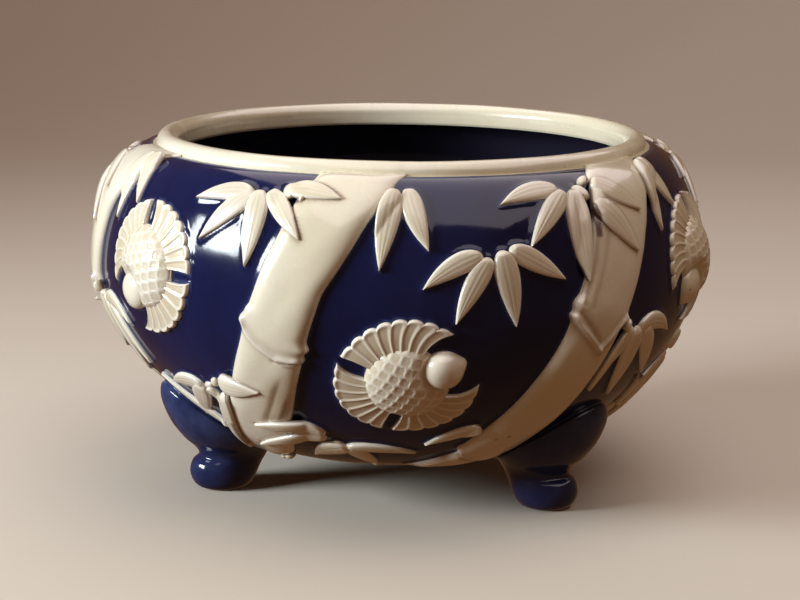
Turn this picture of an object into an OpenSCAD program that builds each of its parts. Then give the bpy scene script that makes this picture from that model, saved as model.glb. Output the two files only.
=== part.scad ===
// Footed cachepot with bamboo, leaves and sparrows in relief.
// The floor is z = 0 and the pot's axis is z. Azimuth 0 faces -Y and grows towards +X.
// Places on the wall are an azimuth and a share, in percent, of the way down from neck to underside.

/* [Bowl] */
// Height of the underside above the floor
foot_rise = 29.5; // [27:0.5:32]
// Height of the widest place above the underside
belly_up = 104.5; // [98:0.5:111]
// Height of the neck above the underside
neck_up = 171; // [163:0.5:179]
// Radius at the widest place
belly_r = 176.4; // [170:0.2:184]
// Radius of the flat underside
base_r = 93.2; // [90:0.2:97]
// Radius at the neck
neck_r = 143.4; // [139:0.2:148]
// Thickness of the wall
wall = 8; // [6.5:0.5:9.5]
// Thickness of the floor
floor_t = 9; // [7:0.5:12]
// How far the underside runs out before it turns up
base_sweep = 26.2; // [22:0.2:30]
// How far the belly runs down before it turns in
belly_sweep = 45; // [40:0.5:50]

/* [Lip] */
// Width of the rolled lip
lip_w = 12.4; // [10:0.2:14]
// Height of the rolled lip
lip_h = 12; // [10:0.2:14]
// Height of the roll's middle above the neck
lip_rise = 0.9; // [0:0.1:2]
// Depth of the seat that the lip is luted into
seat_drop = 3.5; // [2.5:0.5:4.5]

/* [Feet] */
// Azimuth of the first foot
foot_turn = -70; // [-73:0.5:-68]
// Distance from the pot's axis to the middle of a foot
foot_out = 110; // [107:0.5:113]
// Width of a foot across its knee
knee_w = 58; // [52:1:62]
// Width of a foot across its toe
toe_w = 35; // [30:1:38]
// How far the knee swells out of the wall
knee_swell = 6; // [4:0.5:8]

/* [Bamboo] */
// Height of a cane over the wall
cane_h = 5.5; // [4.5:0.25:7]
// Height of a joint's ridge over its cane
ridge_h = 2; // [1.4:0.1:2.6]
// Height of a leaf's midrib over what it lies on
leaf_h = 2.6; // [2:0.1:3.4]
// Height of a leaf's edge
leaf_edge = 1.3; // [1:0.1:1.6]

/* [Sparrows] */
// Radius of a sparrow with its feathers spread
spread_r = 38.5; // [35:0.5:39.5]
// Radius of a sparrow's breast
breast_r = 22; // [20:0.5:24]
// Height of a sparrow's breast
breast_h = 9; // [8:0.5:11]
// Radius of a sparrow's head
head_r = 11.2; // [10:0.1:12]
// Height of a sparrow's head
head_h = 10; // [9:0.5:12]
// Distance from the middle of the breast to the middle of the head
neck_out = 20; // [18.5:0.5:21]
// Height of the feathers at the breast
feather_h = 3.5; // [2.75:0.25:4.25]
// Height of the feathers at their tips
feather_tip = 1.7; // [1.2:0.1:2.2]
// Number of feathers in a wing or tail
feathers = 7; // [5:1:8]

/* [Hidden] */
SECTORS = 3;
feet = SECTORS;
sector = 360 / SECTORS;
// Luted pieces stand this far off what carries them
seat_gap = 0.35;

// Wall
base_z = foot_rise;
belly_z = base_z + belly_up;
neck_z = base_z + neck_up;
SHOULDER_STEPS = 22;
FLANK_STEPS = 22;

function bezier(p, t) =
    pow(1 - t, 3) * p[0] + 3 * pow(1 - t, 2) * t * p[1] + 3 * (1 - t) * t * t * p[2] + pow(t, 3) * p[3];
// From the neck out and down to the belly
function shoulder(r_top, z_top, r_belly) =
    [for (i = [0:SHOULDER_STEPS]) let (a = 90 * i / SHOULDER_STEPS)
        [r_top + (r_belly - r_top) * sin(a), belly_z + (z_top - belly_z) * cos(a)]];
// From the belly down and in to the floor
function flank(r_belly, r_low, z_low) =
    [for (i = [1:FLANK_STEPS])
        bezier([[r_belly, belly_z], [r_belly, belly_z - belly_sweep],
                [r_low + base_sweep, z_low + base_sweep / 4], [r_low, z_low]], i / FLANK_STEPS)];
OUTSIDE = concat(shoulder(neck_r, neck_z, belly_r), flank(belly_r, base_r, base_z));

function runs(pts, i = 0, sum = 0) =
    i == len(pts) - 1 ? [sum] : concat([sum], runs(pts, i + 1, sum + norm(pts[i + 1] - pts[i])));
RUN = runs(OUTSIDE);
wall_run = RUN[len(RUN) - 1];
R_DOWN = [for (i = [0:len(RUN) - 1]) [RUN[i], OUTSIDE[i][0]]];
Z_DOWN = [for (i = [0:len(RUN) - 1]) [RUN[i], OUTSIDE[i][1]]];
function down(share) = share / 100 * wall_run;
function wall_r(d) = lookup(d, R_DOWN);
function wall_z(d) = lookup(d, Z_DOWN);
function wall_normal(d) =
    let (t = [wall_r(d + 2) - wall_r(d - 2), wall_z(d + 2) - wall_z(d - 2)]) [-t[1], t[0]] / norm(t);
// The point h over the wall, at an azimuth and a run down from the neck
function on_wall(turn, d, h) =
    let (n = wall_normal(d), r = wall_r(d) + h * n[0])
        [r * sin(turn), -r * cos(turn), wall_z(d) + h * n[1]];
// The azimuth and run of a point that lies across and up from another
function beside(turn, d, across, up) = [turn + across / wall_r(d - up) * 180 / PI, d - up];
function mix(a, b, t) = a + (b - a) * t;

// Lip
lip_clear = 0.3;
lip_r = neck_r - lip_clear - lip_w / 2;
lip_z = neck_z + lip_rise;
mouth_r = lip_r - lip_w / 2;
seat_z = neck_z - seat_drop;

// Canes: azimuth, share of the wall, and half width along the middle line
TALL_CANE = [[-8, 0, 23.5], [-9.5, 6, 21], [-12, 12, 20], [-14.2, 18, 19.5], [-16, 23, 18.7],
             [-18.3, 29, 17.8], [-20, 35.5, 17.8], [-21.8, 42.5, 17.8], [-23.3, 48.5, 17.8],
             [-25.4, 55, 18], [-28, 62.5, 18.2], [-31, 70, 18.4], [-34.2, 77.5, 18.6],
             [-38, 85, 18], [-41.5, 91, 16], [-44, 95.5, 12]];
BENT_CANE = [[53, 0, 24], [49, 5.5, 22], [46, 10.5, 21], [43.4, 17, 20], [41.8, 23, 19.2],
             [39.8, 30, 18.4], [37.2, 38, 18.2], [35.2, 46, 17.6], [33.4, 54, 18.2], [31.6, 61.5, 18.6],
             [29.3, 69, 18.2], [26.3, 76, 17.2], [22.8, 82, 15.5], [17.6, 87.5, 11.5],
             [11, 91, 7.5], [1.5, 94.6, 2]];
// Places of the joints' ridges, counted in points along the lines above
TALL_JOINTS = [7.05];
BENT_JOINTS = [6.75, 13.0];
RIDGE_HALF = 0.22;
// How far a ridge droops in the middle
ridge_droop = 4;
ACROSS = [-1, -0.88, -0.55, 0, 0.55, 0.88, 1];
CANE_EDGE = 1.4;
// Share of its height that a cane has at the lip, and the run over which the rest would come
LIP_SHARE = 0.3;
LIP_REACH = 50;
// The first points, over which its cross lines turn from level to square
LEVEL_TO = 3;

function cane_line(kind) = kind == 0 ? TALL_CANE : BENT_CANE;
function cane_joints(kind) = kind == 0 ? TALL_JOINTS : BENT_JOINTS;
// A smooth line through points, where t counts the points
function along(pts, t) =
    let (n = len(pts) - 1, i = min(n - 1, floor(t)), u = t - i,
         a = pts[max(0, i - 1)], b = pts[i], c = pts[i + 1], d = pts[min(n, i + 2)])
        0.5 * ((2 * b) + (c - a) * u + (2 * a - 5 * b + 4 * c - d) * u * u
               + (3 * b - a - 3 * c + d) * u * u * u);
function ridge(joints, t) = max([for (j = joints) max(0, 1 - abs(t - j) / RIDGE_HALF)]);
// A cane starts low where it runs into the lip and is round across
function cane_round(d, x) = cane_h * min(1, LIP_SHARE + d / LIP_REACH) * sqrt(1 - pow(min(1, abs(x)), 4));
function cane_top(t, d, x, joints) = max(CANE_EDGE, cane_round(d, x)) + ridge_h * ridge(joints, t);
function cane_steps(pts, joints) =
    let (n = len(pts) - 1,
         extra = [for (j = joints) each [j - RIDGE_HALF, j, j + RIDGE_HALF]],
         steps = concat([0.25, 0.75, 1.25], [for (u = [0:0.5:n]) u]),
         keep = [for (t = steps) if (min([for (j = joints) abs(t - j)]) > 0.35) t])
        sorted(concat(keep, extra));
function sorted(v) =
    len(v) <= 1 ? v :
    let (mid = v[floor(len(v) / 2)])
        concat(sorted([for (x = v) if (x < mid) x]), [mid], sorted([for (x = v) if (x > mid) x]));
function cane_ring(pts, joints, t, turn) =
    let (p = along(pts, t), d = down(p[1]), q0 = along(pts, max(0, t - 0.2)),
         q1 = along(pts, min(len(pts) - 1, t + 0.2)),
         east = (q1[0] - q0[0]) * PI / 180 * wall_r(d), south = down(q1[1]) - down(q0[1]),
         run = norm([east, south]), cross = mix([1, 0], [south, east] / run, min(1, t / LEVEL_TO)),
         side = cross / norm(cross),
         droop = min([for (j = joints) abs(t - j)]) > 1.01 * RIDGE_HALF ? 0 : ridge_droop,
         under = droop > 0 ? 2 * seat_gap : seat_gap,
         spot = [for (x = ACROSS) let (y = droop * (1 - abs(x)))
             beside(p[0] + turn, d, x * p[2] * side[0] + y * east / run, x * p[2] * side[1] - y * south / run)])
        concat([for (i = [0:len(ACROSS) - 1]) on_wall(spot[i][0], max(0, spot[i][1]), under)],
               [for (i = [len(ACROSS) - 1:-1:0])
                   on_wall(spot[i][0], max(0, spot[i][1]), seat_gap + cane_top(t, spot[i][1], ACROSS[i], joints))]);

// The patch of wall and underside that a foot is luted to
patch_in = 29;
patch_out = 33.5;
// Share of the wall down to the upper end of a knee
knee_share = 100 / wall_run * lookup(foot_out + patch_out,
    [for (i = [len(RUN) - 1:-1:SHOULDER_STEPS]) [OUTSIDE[i][0], RUN[i]]]);
// How far over a knee the leaf at the waist ends, as a share of the wall
waist_clear = 4;

// Leaves: azimuth and share of the base, azimuth and share of the tip, width, sideways bow
LEAVES = [
    // On the shoulder, left of the tall cane
    [[-29, 9.2, -41, 12.6, 10.5, 2.5], [-28.8, 11.2, -38, 22.8, 11, 1.2], [-26.6, 10.2, -27.6, 27.6, 12, 0],
     [-23.9, 9.2, -17.4, 19.6, 11, 0.5], [-21.6, 7.8, -10.6, 11, 9.5, 0.5]],
    // Under the lip, right of the tall cane
    [[-2, 6.4, -3.7, 26.4, 13.5, -1], [1.6, 6.4, 4.7, 21.8, 10.5, 0.5]],
    // High between the canes
    [[13.4, 23.2, 3.7, 30.8, 10, 0.5], [15.6, 25, 9.4, 39.2, 12, 0.5], [17.6, 24, 20, 40.4, 12, 0.5],
     [19.4, 21.8, 29.4, 30, 10, 0.5]],
    // On the shoulder, left of the bent cane
    [[30, 7.8, 18.3, 11.4, 10, 2.5], [31.2, 10.2, 23.2, 21.8, 10.5, 0], [33.8, 9.8, 33.2, 31, 11.5, 0],
     [37.6, 8, 46.8, 16, 11.5, 1], [37.6, 12.8, 44.2, 25.4, 12, 0.5]],
    // Under the lip, right of the bent cane
    [[55.4, 7.4, 55.2, 22.4, 11, 1.5], [60, 3.8, 61.8, 16, 10, 1.5]],
    // Half way down, right of the bent cane
    [[43.6, 45, 39.6, 61.4, 10, 0.5], [46.6, 45.4, 50, knee_share - waist_clear, 13, 1],
     [50, 45, 59.6, 61.6, 10, 1.5], [50, 42, 60, 48.8, 10, 2]],
    // At the root of the tall cane, to its left
    [[-44.4, 62.8, -56, 65.6, 10, 2], [-45, 65.4, -53, 78, 12, 0], [-40.4, 64.6, -46.8, 88.6, 10, 1.5],
     [-36.4, 58.8, -26, 60.4, 11, 1]],
    // At the root of the tall cane, to its right
    [[-17.2, 77.6, -32.8, 74.2, 9.5, 1.5], [-18, 80.6, -36.6, 84.4, 9, 0], [-15.2, 83.8, -23.8, 90, 11.5, 1.5],
     [-12.6, 84, -5.8, 93, 9, 0], [-12, 81.6, 4.6, 84.4, 8.5, 1], [17.6, 72.4, 6, 80.4, 8, 0.5]]
];
SPRAYS = ["shoulder", "pair", "middle", "lip", "side", "waist", "root", "creeping"];
LEAF_STEPS = [0.06, 0.2, 0.38, 0.56, 0.74, 0.9];
// Half the width of a leaf, from its round base to its long tip
function leaf_half(t) = pow(sin(180 * pow(t, 0.72)), 0.85) / 2;
LEAF_SECTION = [[-1, 0], [-0.86, 0.5], [0, 1], [0.86, 0.5], [1, 0]];
// How much wider than a cane a leaf's bed over it is
bed_over = 6;
// How much of its height a leaf keeps where it lies on a cane
thin_on_cane = 0.65;
BED_SLACK = 1.04;
// Height of the bed that a leaf lies on, over the nearest cane
function cane_bed(turn, d, line) =
    let (share = 100 * d / wall_run, turns = [for (p = line) [p[1], p[0]]], middle = lookup(share, turns),
         lean = (lookup(share + 3, turns) - lookup(share - 3, turns)) * PI / 180 * wall_r(d) / down(6),
         half = (lookup(share, [for (p = line) [p[1], p[2]]]) + bed_over) * norm([1, lean]),
         x = abs(turn - middle) * PI / 180 * wall_r(d) / half)
        x >= 1 || share > line[len(line) - 1][1] ? 0 : cane_round(d, x);
function bed(turn, d) = max(cane_bed(turn, d, TALL_CANE), cane_bed(turn, d, BENT_CANE));
function leaf_spot(f, t, y) =
    let (turn = mix(f[0], f[2], t), d = down(mix(f[1], f[3], t)),
         east = (f[2] - f[0]) * PI / 180 * wall_r(down((f[1] + f[3]) / 2)), south = down(f[3] - f[1]),
         side = [south, east] / norm([east, south]), off = y + 4 * f[5] * t * (1 - t) * (east < 0 ? -1 : 1))
        beside(turn, d, off * side[0], off * side[1]);
function leaf_point(f, t, y, h, turn) =
    let (s = leaf_spot(f, t, y), b = bed(s[0], s[1]))
        on_wall(s[0] + turn, s[1], seat_gap + BED_SLACK * b + h * mix(1, thin_on_cane, b / cane_h));
function leaf_rings(f, turn) =
    [for (t = LEAF_STEPS) [for (c = LEAF_SECTION)
        leaf_point(f, t, c[0] * leaf_half(t) * f[4],
                   c[1] == 1 ? leaf_h : 2 * c[1] * leaf_edge, turn)]];

// Sparrows: azimuth, share of the wall, direction of the head, which way they are turned,
// and how much of the full spread they have
SPARROWS = [[-51, 31.5, -128, -1, 0.96], [1.3, 55, 21, 1, 1]];
// Wings and tail: direction from the head, spread at the breast and at the tips
FANS = [[85, 80, 106], [-72, 72, 95], [188, 84, 92]];
breast_gap = 0.4;
// Distance from a sparrow's middle to the edge of its breast, with room for the head
function breast_edge(rel) =
    let (clear = head_r + breast_gap, s = neck_out * sin(rel))
        abs(s) < clear && cos(rel) > 0 ? min(breast_r, neck_out * cos(rel) - sqrt(clear * clear - s * s))
        : breast_r;
function dome(height, share) = height * sqrt(1 - pow(min(share, 0.97), 2.4));
function from_middle(bird, sector_turn, across, up, h) =
    let (s = beside(bird[0] + sector_turn, down(bird[1]), across, up)) on_wall(s[0], s[1], seat_gap + h);
function fan_point(bird, sector_turn, fan, along_fan, share, h) =
    let (spread = mix(fan[1], fan[2], pow(share, 1.3)),
         a = bird[2] + bird[3] * (fan[0] + (along_fan - 0.5) * spread),
         scallop = 0.05 * spread_r * share * abs(cos(180 * feathers * along_fan)),
         r = mix(breast_r + breast_gap, spread_r * bird[4], share) - scallop)
        from_middle(bird, sector_turn, r * cos(a), r * sin(a), h);

// Feet: inner and outer edge of each ring from the sole up, as distance from the foot's
// middle and height, and its half width as a share of the toe's
FOOT_RINGS = [[-11, 0, 11, 0, 0.62], [-15, 1.2, 15, 1.2, 0.8], [-18, 4.5, 18, 4.5, 0.94],
              [-20.5, 9, 19.5, 10, 1], [-23, 14, 18, 16, 0.96], [-25.5, 18, 14, 20, 0.95],
              [-27, 21, 17, 25.5, 1.08], [-28, 24, 22.5, 30.5, 1.28]];
FOOT_SIDES = 16;
FOOT_BLEND = [0.3, 0.6, 0.85];
// The foot rise that the rings above are drawn for
RINGS_RISE = 29.5;
foot_scale_z = foot_rise / RINGS_RISE;
// How many seat gaps a foot keeps from the curved flank
FLANK_GAP = 2.2;

// Meshes: rings of points in order, closed at both ends
function band(n, m) =
    [for (i = [0:n - 2]) for (j = [0:m - 1]) let (a = i * m + j, b = i * m + (j + 1) % m)
        each [[a, b, b + m], [a, b + m, a + m]]];

// A strip whose rings are a lower row out and an upper row back
module strip(rings) {
    n = len(rings);
    m = len(rings[0]);
    h = m / 2;
    last = (n - 1) * m;
    ends = [for (j = [0:h - 2]) let (a = j, b = j + 1, c = m - 2 - j, e = m - 1 - j)
        each [[a, c, b], [a, e, c], [last + a, last + b, last + c], [last + a, last + c, last + e]]];
    polyhedron(points = [for (r = rings) each r], faces = concat(band(n, m), ends));
}

// A spindle whose rings lie between two end points
module spindle(start, rings, end) {
    n = len(rings);
    m = len(rings[0]);
    points = concat([for (r = rings) each r], [start, end]);
    tips = [for (j = [0:m - 1]) let (k = (j + 1) % m)
        each [[n * m, k, j], [n * m + 1, (n - 1) * m + j, (n - 1) * m + k]]];
    polyhedron(points = points, faces = concat(band(n, m), tips));
}

// The bowl: thrown wall and floor, with a seat for the lip
module bowl() {
    inner_top = neck_z - wall + 1.5;
    inner_low = base_r - wall;
    inner = concat(shoulder(mouth_r, inner_top, belly_r - wall),
                   flank(belly_r - wall, inner_low, base_z + floor_t));
    turned = [for (i = [len(inner) - 1:-1:0]) inner[i]];
    outside = [for (i = [len(OUTSIDE) - 1:-1:0]) OUTSIDE[i]];
    color("midnightblue")
        rotate_extrude($fn = 96)
            polygon(concat([[0, base_z]], outside, [[neck_r, seat_z], [mouth_r, seat_z]], inner,
                           [[0, base_z + floor_t]]));
}

// The lip: a rolled ring with a flat underside
module lip_ring() {
    steps = 28;
    cut = asin((seat_z - lip_z) / (lip_h / 2));
    color("ivory")
        rotate_extrude($fn = 96)
            polygon([for (i = [0:steps]) let (a = mix(cut, 180 - cut, i / steps))
                [lip_r + lip_w / 2 * cos(a), lip_z + lip_h / 2 * sin(a)]]);
}

// A foot: a knee under the belly, a narrow ankle and a rounded toe
module foot(i) {
    turn = foot_turn + i * sector;
    function place(out, aside, z) =
        [(foot_out + out) * sin(turn) + aside * cos(turn),
         -(foot_out + out) * cos(turn) + aside * sin(turn), z];
    function ring_point(k, a) =
        let (g = FOOT_RINGS[k])
            [mix(g[0], g[2], (1 + cos(a)) / 2), sin(a) * g[4] * toe_w / 2,
             foot_scale_z * mix(g[1], g[3], (1 + cos(a)) / 2)];
    // The patch point: under the floor it is flat, and beyond that it follows the wall
    function patch(a, share) =
        let (out = mix(0, cos(a) > 0 ? patch_out : patch_in, abs(cos(a)) * share) * sign(cos(a)),
             aside = sin(a) * share * knee_w / 2,
             r = norm([foot_out + out, aside]),
             z = r <= base_r ? base_z : lookup(r, [for (i = [len(RUN) - 1:-1:SHOULDER_STEPS])
                 [OUTSIDE[i][0], OUTSIDE[i][1]]]))
            [out, aside, z - seat_gap * (r <= base_r ? 1 : FLANK_GAP)];
    function blended(a, u) =
        let (top = len(FOOT_RINGS) - 1, p0 = ring_point(top, a), before = ring_point(top - 1, a),
             p3 = patch(a, 1), span = norm(p3 - p0), lean = (p0 - before) / norm(p0 - before),
             swell = [max(0, cos(a)) * knee_swell, sin(a) * knee_swell * 0.35,
                      -knee_swell * 0.5 * max(0.15, cos(a))])
            bezier([p0, p0 + lean * span / 3, p3 + swell * min(1, span / 20), p3], u);
    sides = [for (j = [0:FOOT_SIDES - 1]) 360 * j / FOOT_SIDES];
    rings = concat(
        [for (k = [0:len(FOOT_RINGS) - 1]) [for (a = sides) let (p = ring_point(k, a)) place(p[0], p[1], p[2])]],
        [for (u = FOOT_BLEND) [for (a = sides) let (p = blended(a, u)) place(p[0], p[1], p[2])]],
        [for (share = [1, 0.72, 0.56, 0.4, 0.2]) [for (a = sides) let (p = patch(a, share)) place(p[0], p[1], p[2])]]);
    middle = patch(90, 0);
    color("midnightblue")
        spindle(place(0, 0, 0), rings, place(middle[0], middle[1], middle[2]));
}

// A cane of bamboo, from the lip to its root
module cane(kind, i) {
    pts = cane_line(kind);
    joints = cane_joints(kind);
    color("ivory")
        strip([for (t = cane_steps(pts, joints)) cane_ring(pts, joints, t, i * sector)]);
}

// One spray of leaves
module spray(which, i) {
    color("ivory")
        for (f = LEAVES[which])
            spindle(leaf_point(f, 0, 0, leaf_edge / 2, i * sector), leaf_rings(f, i * sector),
                    leaf_point(f, 1, 0, leaf_edge / 2, i * sector));
}

// The breast: a round dome with a hollow for the head
module breast(bird, turn) {
    sides = [for (j = [0:23]) j * 15];
    function ring(share, top) = [for (rel = sides)
        let (e = breast_edge(rel > 180 ? rel - 360 : rel), r = e * share, a = bird[2] + rel)
            from_middle(bird, turn, r * cos(a), r * sin(a), top ? dome(breast_h, r / breast_r) : 0)];
    color("ivory")
        spindle(from_middle(bird, turn, 0, 0, 0), [ring(0.5, false), ring(1, false), ring(1, true),
                ring(0.85, true), ring(0.5, true)], from_middle(bird, turn, 0, 0, breast_h));
}

// The head: a smaller dome with a short beak
module head(bird, turn) {
    sides = [for (j = [0:17]) j * 20];
    function ring(share, top) = [for (rel = sides)
        let (beak = 0.22 * pow(max(0, cos(rel)), 10), r = head_r * share * (1 + beak), a = bird[2] + rel)
            from_middle(bird, turn, neck_out * cos(bird[2]) + r * cos(a),
                        neck_out * sin(bird[2]) + r * sin(a), top ? dome(head_h, share) : 0)];
    color("ivory")
        spindle(from_middle(bird, turn, neck_out * cos(bird[2]), neck_out * sin(bird[2]), 0),
                [ring(0.5, false), ring(1, false), ring(1, true), ring(0.8, true), ring(0.45, true)],
                from_middle(bird, turn, neck_out * cos(bird[2]), neck_out * sin(bird[2]), head_h));
}

// A fan of feathers: a wing or the tail
module feathered(bird, turn, fan) {
    rows = [0, 0.5, 1];
    function height(share, k) =
        mix(feather_h, feather_tip, share) - (k % 2 == 0 ? 0.5 : 0);
    function low(k) = [for (share = rows) fan_point(bird, turn, fan, k / (2 * feathers), share, 0)];
    function high(k) = [for (j = [len(rows) - 1:-1:0])
        fan_point(bird, turn, fan, k / (2 * feathers), rows[j], height(rows[j], k))];
    order = bird[3] > 0 ? [for (k = [0:2 * feathers]) k] : [for (k = [2 * feathers:-1:0]) k];
    color("ivory")
        strip([for (k = order) concat(low(k), high(k))]);
}

module sparrow_part(part, n) {
    bird = SPARROWS[(n - 1) % 2];
    turn = floor((n - 1) / 2) * sector;
    if (part == "breast") breast(bird, turn);
    if (part == "head") head(bird, turn);
    if (part == "wings") { feathered(bird, turn, FANS[0]); feathered(bird, turn, FANS[1]); }
    if (part == "tail") feathered(bird, turn, FANS[2]);
}

BIRD_PARTS = ["breast", "head", "wings", "tail"];
bowl();
lip_ring();
for (i = [1:feet])
    foot(i - 1);
for (i = [1:SECTORS]) {
    cane(0, i - 1);
    cane(1, i - 1);
    for (s = [0:len(SPRAYS) - 1])
        spray(s, i - 1);
}
for (n = [1:2 * SECTORS])
    for (part = BIRD_PARTS)
        sparrow_part(part, n);
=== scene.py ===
"""A footed cachepot: deep blue bowl with bamboo, leaves and sparrows in ivory relief."""

import math
from types import SimpleNamespace

import bpy
import numpy as np
from mathutils import Matrix, Vector
from mathutils.kdtree import KDTree


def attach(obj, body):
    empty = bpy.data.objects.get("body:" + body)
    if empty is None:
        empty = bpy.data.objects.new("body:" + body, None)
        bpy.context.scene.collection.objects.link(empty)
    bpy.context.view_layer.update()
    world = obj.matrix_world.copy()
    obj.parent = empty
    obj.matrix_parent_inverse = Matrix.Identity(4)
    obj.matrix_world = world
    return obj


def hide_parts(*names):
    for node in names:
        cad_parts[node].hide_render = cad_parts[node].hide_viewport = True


bl_info = {
    "name": "Footed Cachepot",
    "version": (1, 0, 0),
    "blender": (4, 5, 0),
    "location": "3D View > Sidebar > Cachepot",
    "description": "Builds a glazed cachepot on three feet with bamboo and sparrows in relief",
    "category": "Add Mesh",
}

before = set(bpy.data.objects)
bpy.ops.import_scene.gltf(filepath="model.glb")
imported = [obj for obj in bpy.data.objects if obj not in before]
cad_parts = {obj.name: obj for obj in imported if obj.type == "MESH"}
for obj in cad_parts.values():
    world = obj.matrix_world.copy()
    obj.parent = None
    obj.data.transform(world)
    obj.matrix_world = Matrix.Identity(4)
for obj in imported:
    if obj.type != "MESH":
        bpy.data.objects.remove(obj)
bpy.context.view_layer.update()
MM = 0.001
SECTORS = 3
SECTOR = 360 / SECTORS
# Luted pieces stand this far off what carries them, and their skirts reach this far into the wall, in mm
SEAT_GAP = 0.35
SKIRT = -0.5
# How far round each piece the glaze and the stains are measured, in mm
REACH = 12.0
# Fineness of the meshes: steps round or across a piece, and its rows or rings
BOWL_STEPS, BOWL_ROWS, INNER_ROWS = 840, 166, 24
LIP_STEPS, LIP_ROWS = 540, 46
FOOT_STEPS, FOOT_ROWS = 96, 104
CANE_STEPS, RUN_ROWS, ROWS_PER_MM = 57, 16, 0.95
LEAF_STEPS, LEAF_ROWS = 27, 36
BREAST_STEPS, BREAST_RINGS = 208, 60
HEAD_STEPS, HEAD_RINGS = 96, 26
BUD_STEPS, BUD_RINGS = 28, 10
FEATHER_STEPS = 16

# Canes: azimuth in degrees, percent of the way down the wall, and half width in mm
TALL_CANE = [
    [-8, 0, 23.5], [-9.5, 6, 21], [-12, 12, 20], [-14.2, 18, 19.5], [-16, 23, 18.7], [-18.3, 29, 17.8],
    [-20, 35.5, 17.8], [-21.8, 42.5, 17.8], [-23.3, 48.5, 17.8], [-25.4, 55, 18], [-28, 62.5, 18.2],
    [-31, 70, 18.4], [-34.2, 77.5, 18.6], [-38, 85, 18], [-41.5, 91, 16], [-44, 95.5, 12],
]
BENT_CANE = [
    [53, 0, 24], [49, 5.5, 22], [46, 10.5, 21], [43.4, 17, 20], [41.8, 23, 19.2], [39.8, 30, 18.4],
    [37.2, 38, 18.2], [35.2, 46, 17.6], [33.4, 54, 18.2], [31.6, 61.5, 18.6], [29.3, 69, 18.2],
    [26.3, 76, 17.2], [22.8, 82, 15.5], [17.6, 87.5, 11.5], [11, 91, 7.5], [1.5, 94.6, 2],
]
# Depths below the neck, in mm: where the lip's roll is cut, and the wall's ledge under it
LIP_SEAT = 3.5
LEDGE = 3.2
# How close to each piece, in mm, the blue glaze pools, and how close it thins to a milky edge
FILLET = 2.6
MILKY_EDGE = 1.3
# Share of its height that a cane has at the lip, and the run in mm over which a whole height would be added
LIP_SHARE = 0.3
LIP_REACH = 50
# A cane's upper end is cut level, and from this point of its line on the rows lie square to it
LEVEL_TO = 3
# Percent of the way down between which a cane thins, and the share of its height that it loses
THIN_FROM, THIN_TO, THIN_BY = 79, 95, 0.45
# A cane's own rows start this far down the wall, in mm; a run of clay leads from there up onto the lip
RUN_LENGTH = 13

# Leaves: azimuth and share of the base, azimuth and share of the tip, width, sideways bow, lift of the base
LEAVES = {
    "shoulder": [[-28.1, 9.6, -40.9, 12.6, 10.7, 2.8, 0], [-28.2, 9.7, -37.6, 22.4, 11.8, 1.7, 0.3],
                 [-26.8, 8.6, -27.4, 27.4, 13, -0.9, 0.7], [-25, 8.6, -17, 20.4, 11.4, 0.4, 0.3],
                 [-21.2, 8.1, -10.5, 10.6, 10.8, 1.6, 0.2]],
    "pair": [[-1.0, 7.1, -3.5, 26.6, 12.4, 0.9, 0.5], [1.2, 6.6, 4.8, 21.9, 12, -0.7, 0.1]],
    "middle": [[14, 22.8, 3.7, 30.7, 11.6, 2.2, 0], [15.3, 23.6, 9.3, 38.9, 11.8, 1, 0.3],
               [17.3, 22, 19.9, 40.2, 13.4, 0.4, 0.7], [18.9, 21.6, 29.2, 29.9, 11.6, 0.6, 0.2]],
    "lip": [[30.9, 8.1, 18.1, 11.4, 11.2, 3.2, 0], [31.9, 8.7, 22.8, 21.8, 11.8, 1.0, 0.3],
            [33.8, 8.5, 33.3, 30.8, 12.8, 1.6, 0.6], [38.3, 7.6, 47.3, 16.3, 11.8, 1.1, 0.2],
            [37, 12.4, 44.6, 25.5, 12.6, 0.5, 0.4]],
    "side": [[57.6, 3.4, 55, 22.3, 11.4, 3.0, 0.3], [58.8, 3.0, 62.2, 17.2, 12.0, -1.2, 0.2]],
    "waist": [[45.8, 44.2, 39.4, 61.2, 12, 1.6, 0.2], [47.2, 44.4, 49.2, 66.8, 13.2, -0.6, 0.5],
              [49.6, 44.7, 58.4, 61.4, 11.6, 0.4, 0.2], [47.6, 44.6, 59.4, 48.6, 11.2, 4.6, 0]],
    "root": [[-42.8, 62.4, -55.2, 65.2, 10.6, 2.4, 0], [-43.4, 62.2, -52.6, 77.4, 12.6, -0.4, 0.5],
             [-36.8, 63.0, -43.6, 88.0, 10.4, 2.2, 0.3], [-37.2, 59.6, -26.6, 58.7, 12, 0.2, 0.2],
             [-45.6, 79.6, -59.6, 63.9, 8.4, -0.8, 0], [-41.2, 62.4, -39.6, 69, 6.4, 0, 0.8]],
    "creeping": [[-16.6, 75.9, -32.0, 71.7, 10.4, 3.2, 0.3], [-16.9, 77.9, -35.8, 82.0, 10.2, 2.6, 0],
                 [-12.4, 82, -23.4, 88.6, 14.0, 1.6, 0.4], [-12.8, 82.6, -5.9, 93, 9.8, 0.6, 0],
                 [-13, 81.8, 4.5, 84.3, 8.8, 1.8, 0.2], [18, 72.2, 6, 79.8, 8.6, 0.9, 0]],
}
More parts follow.
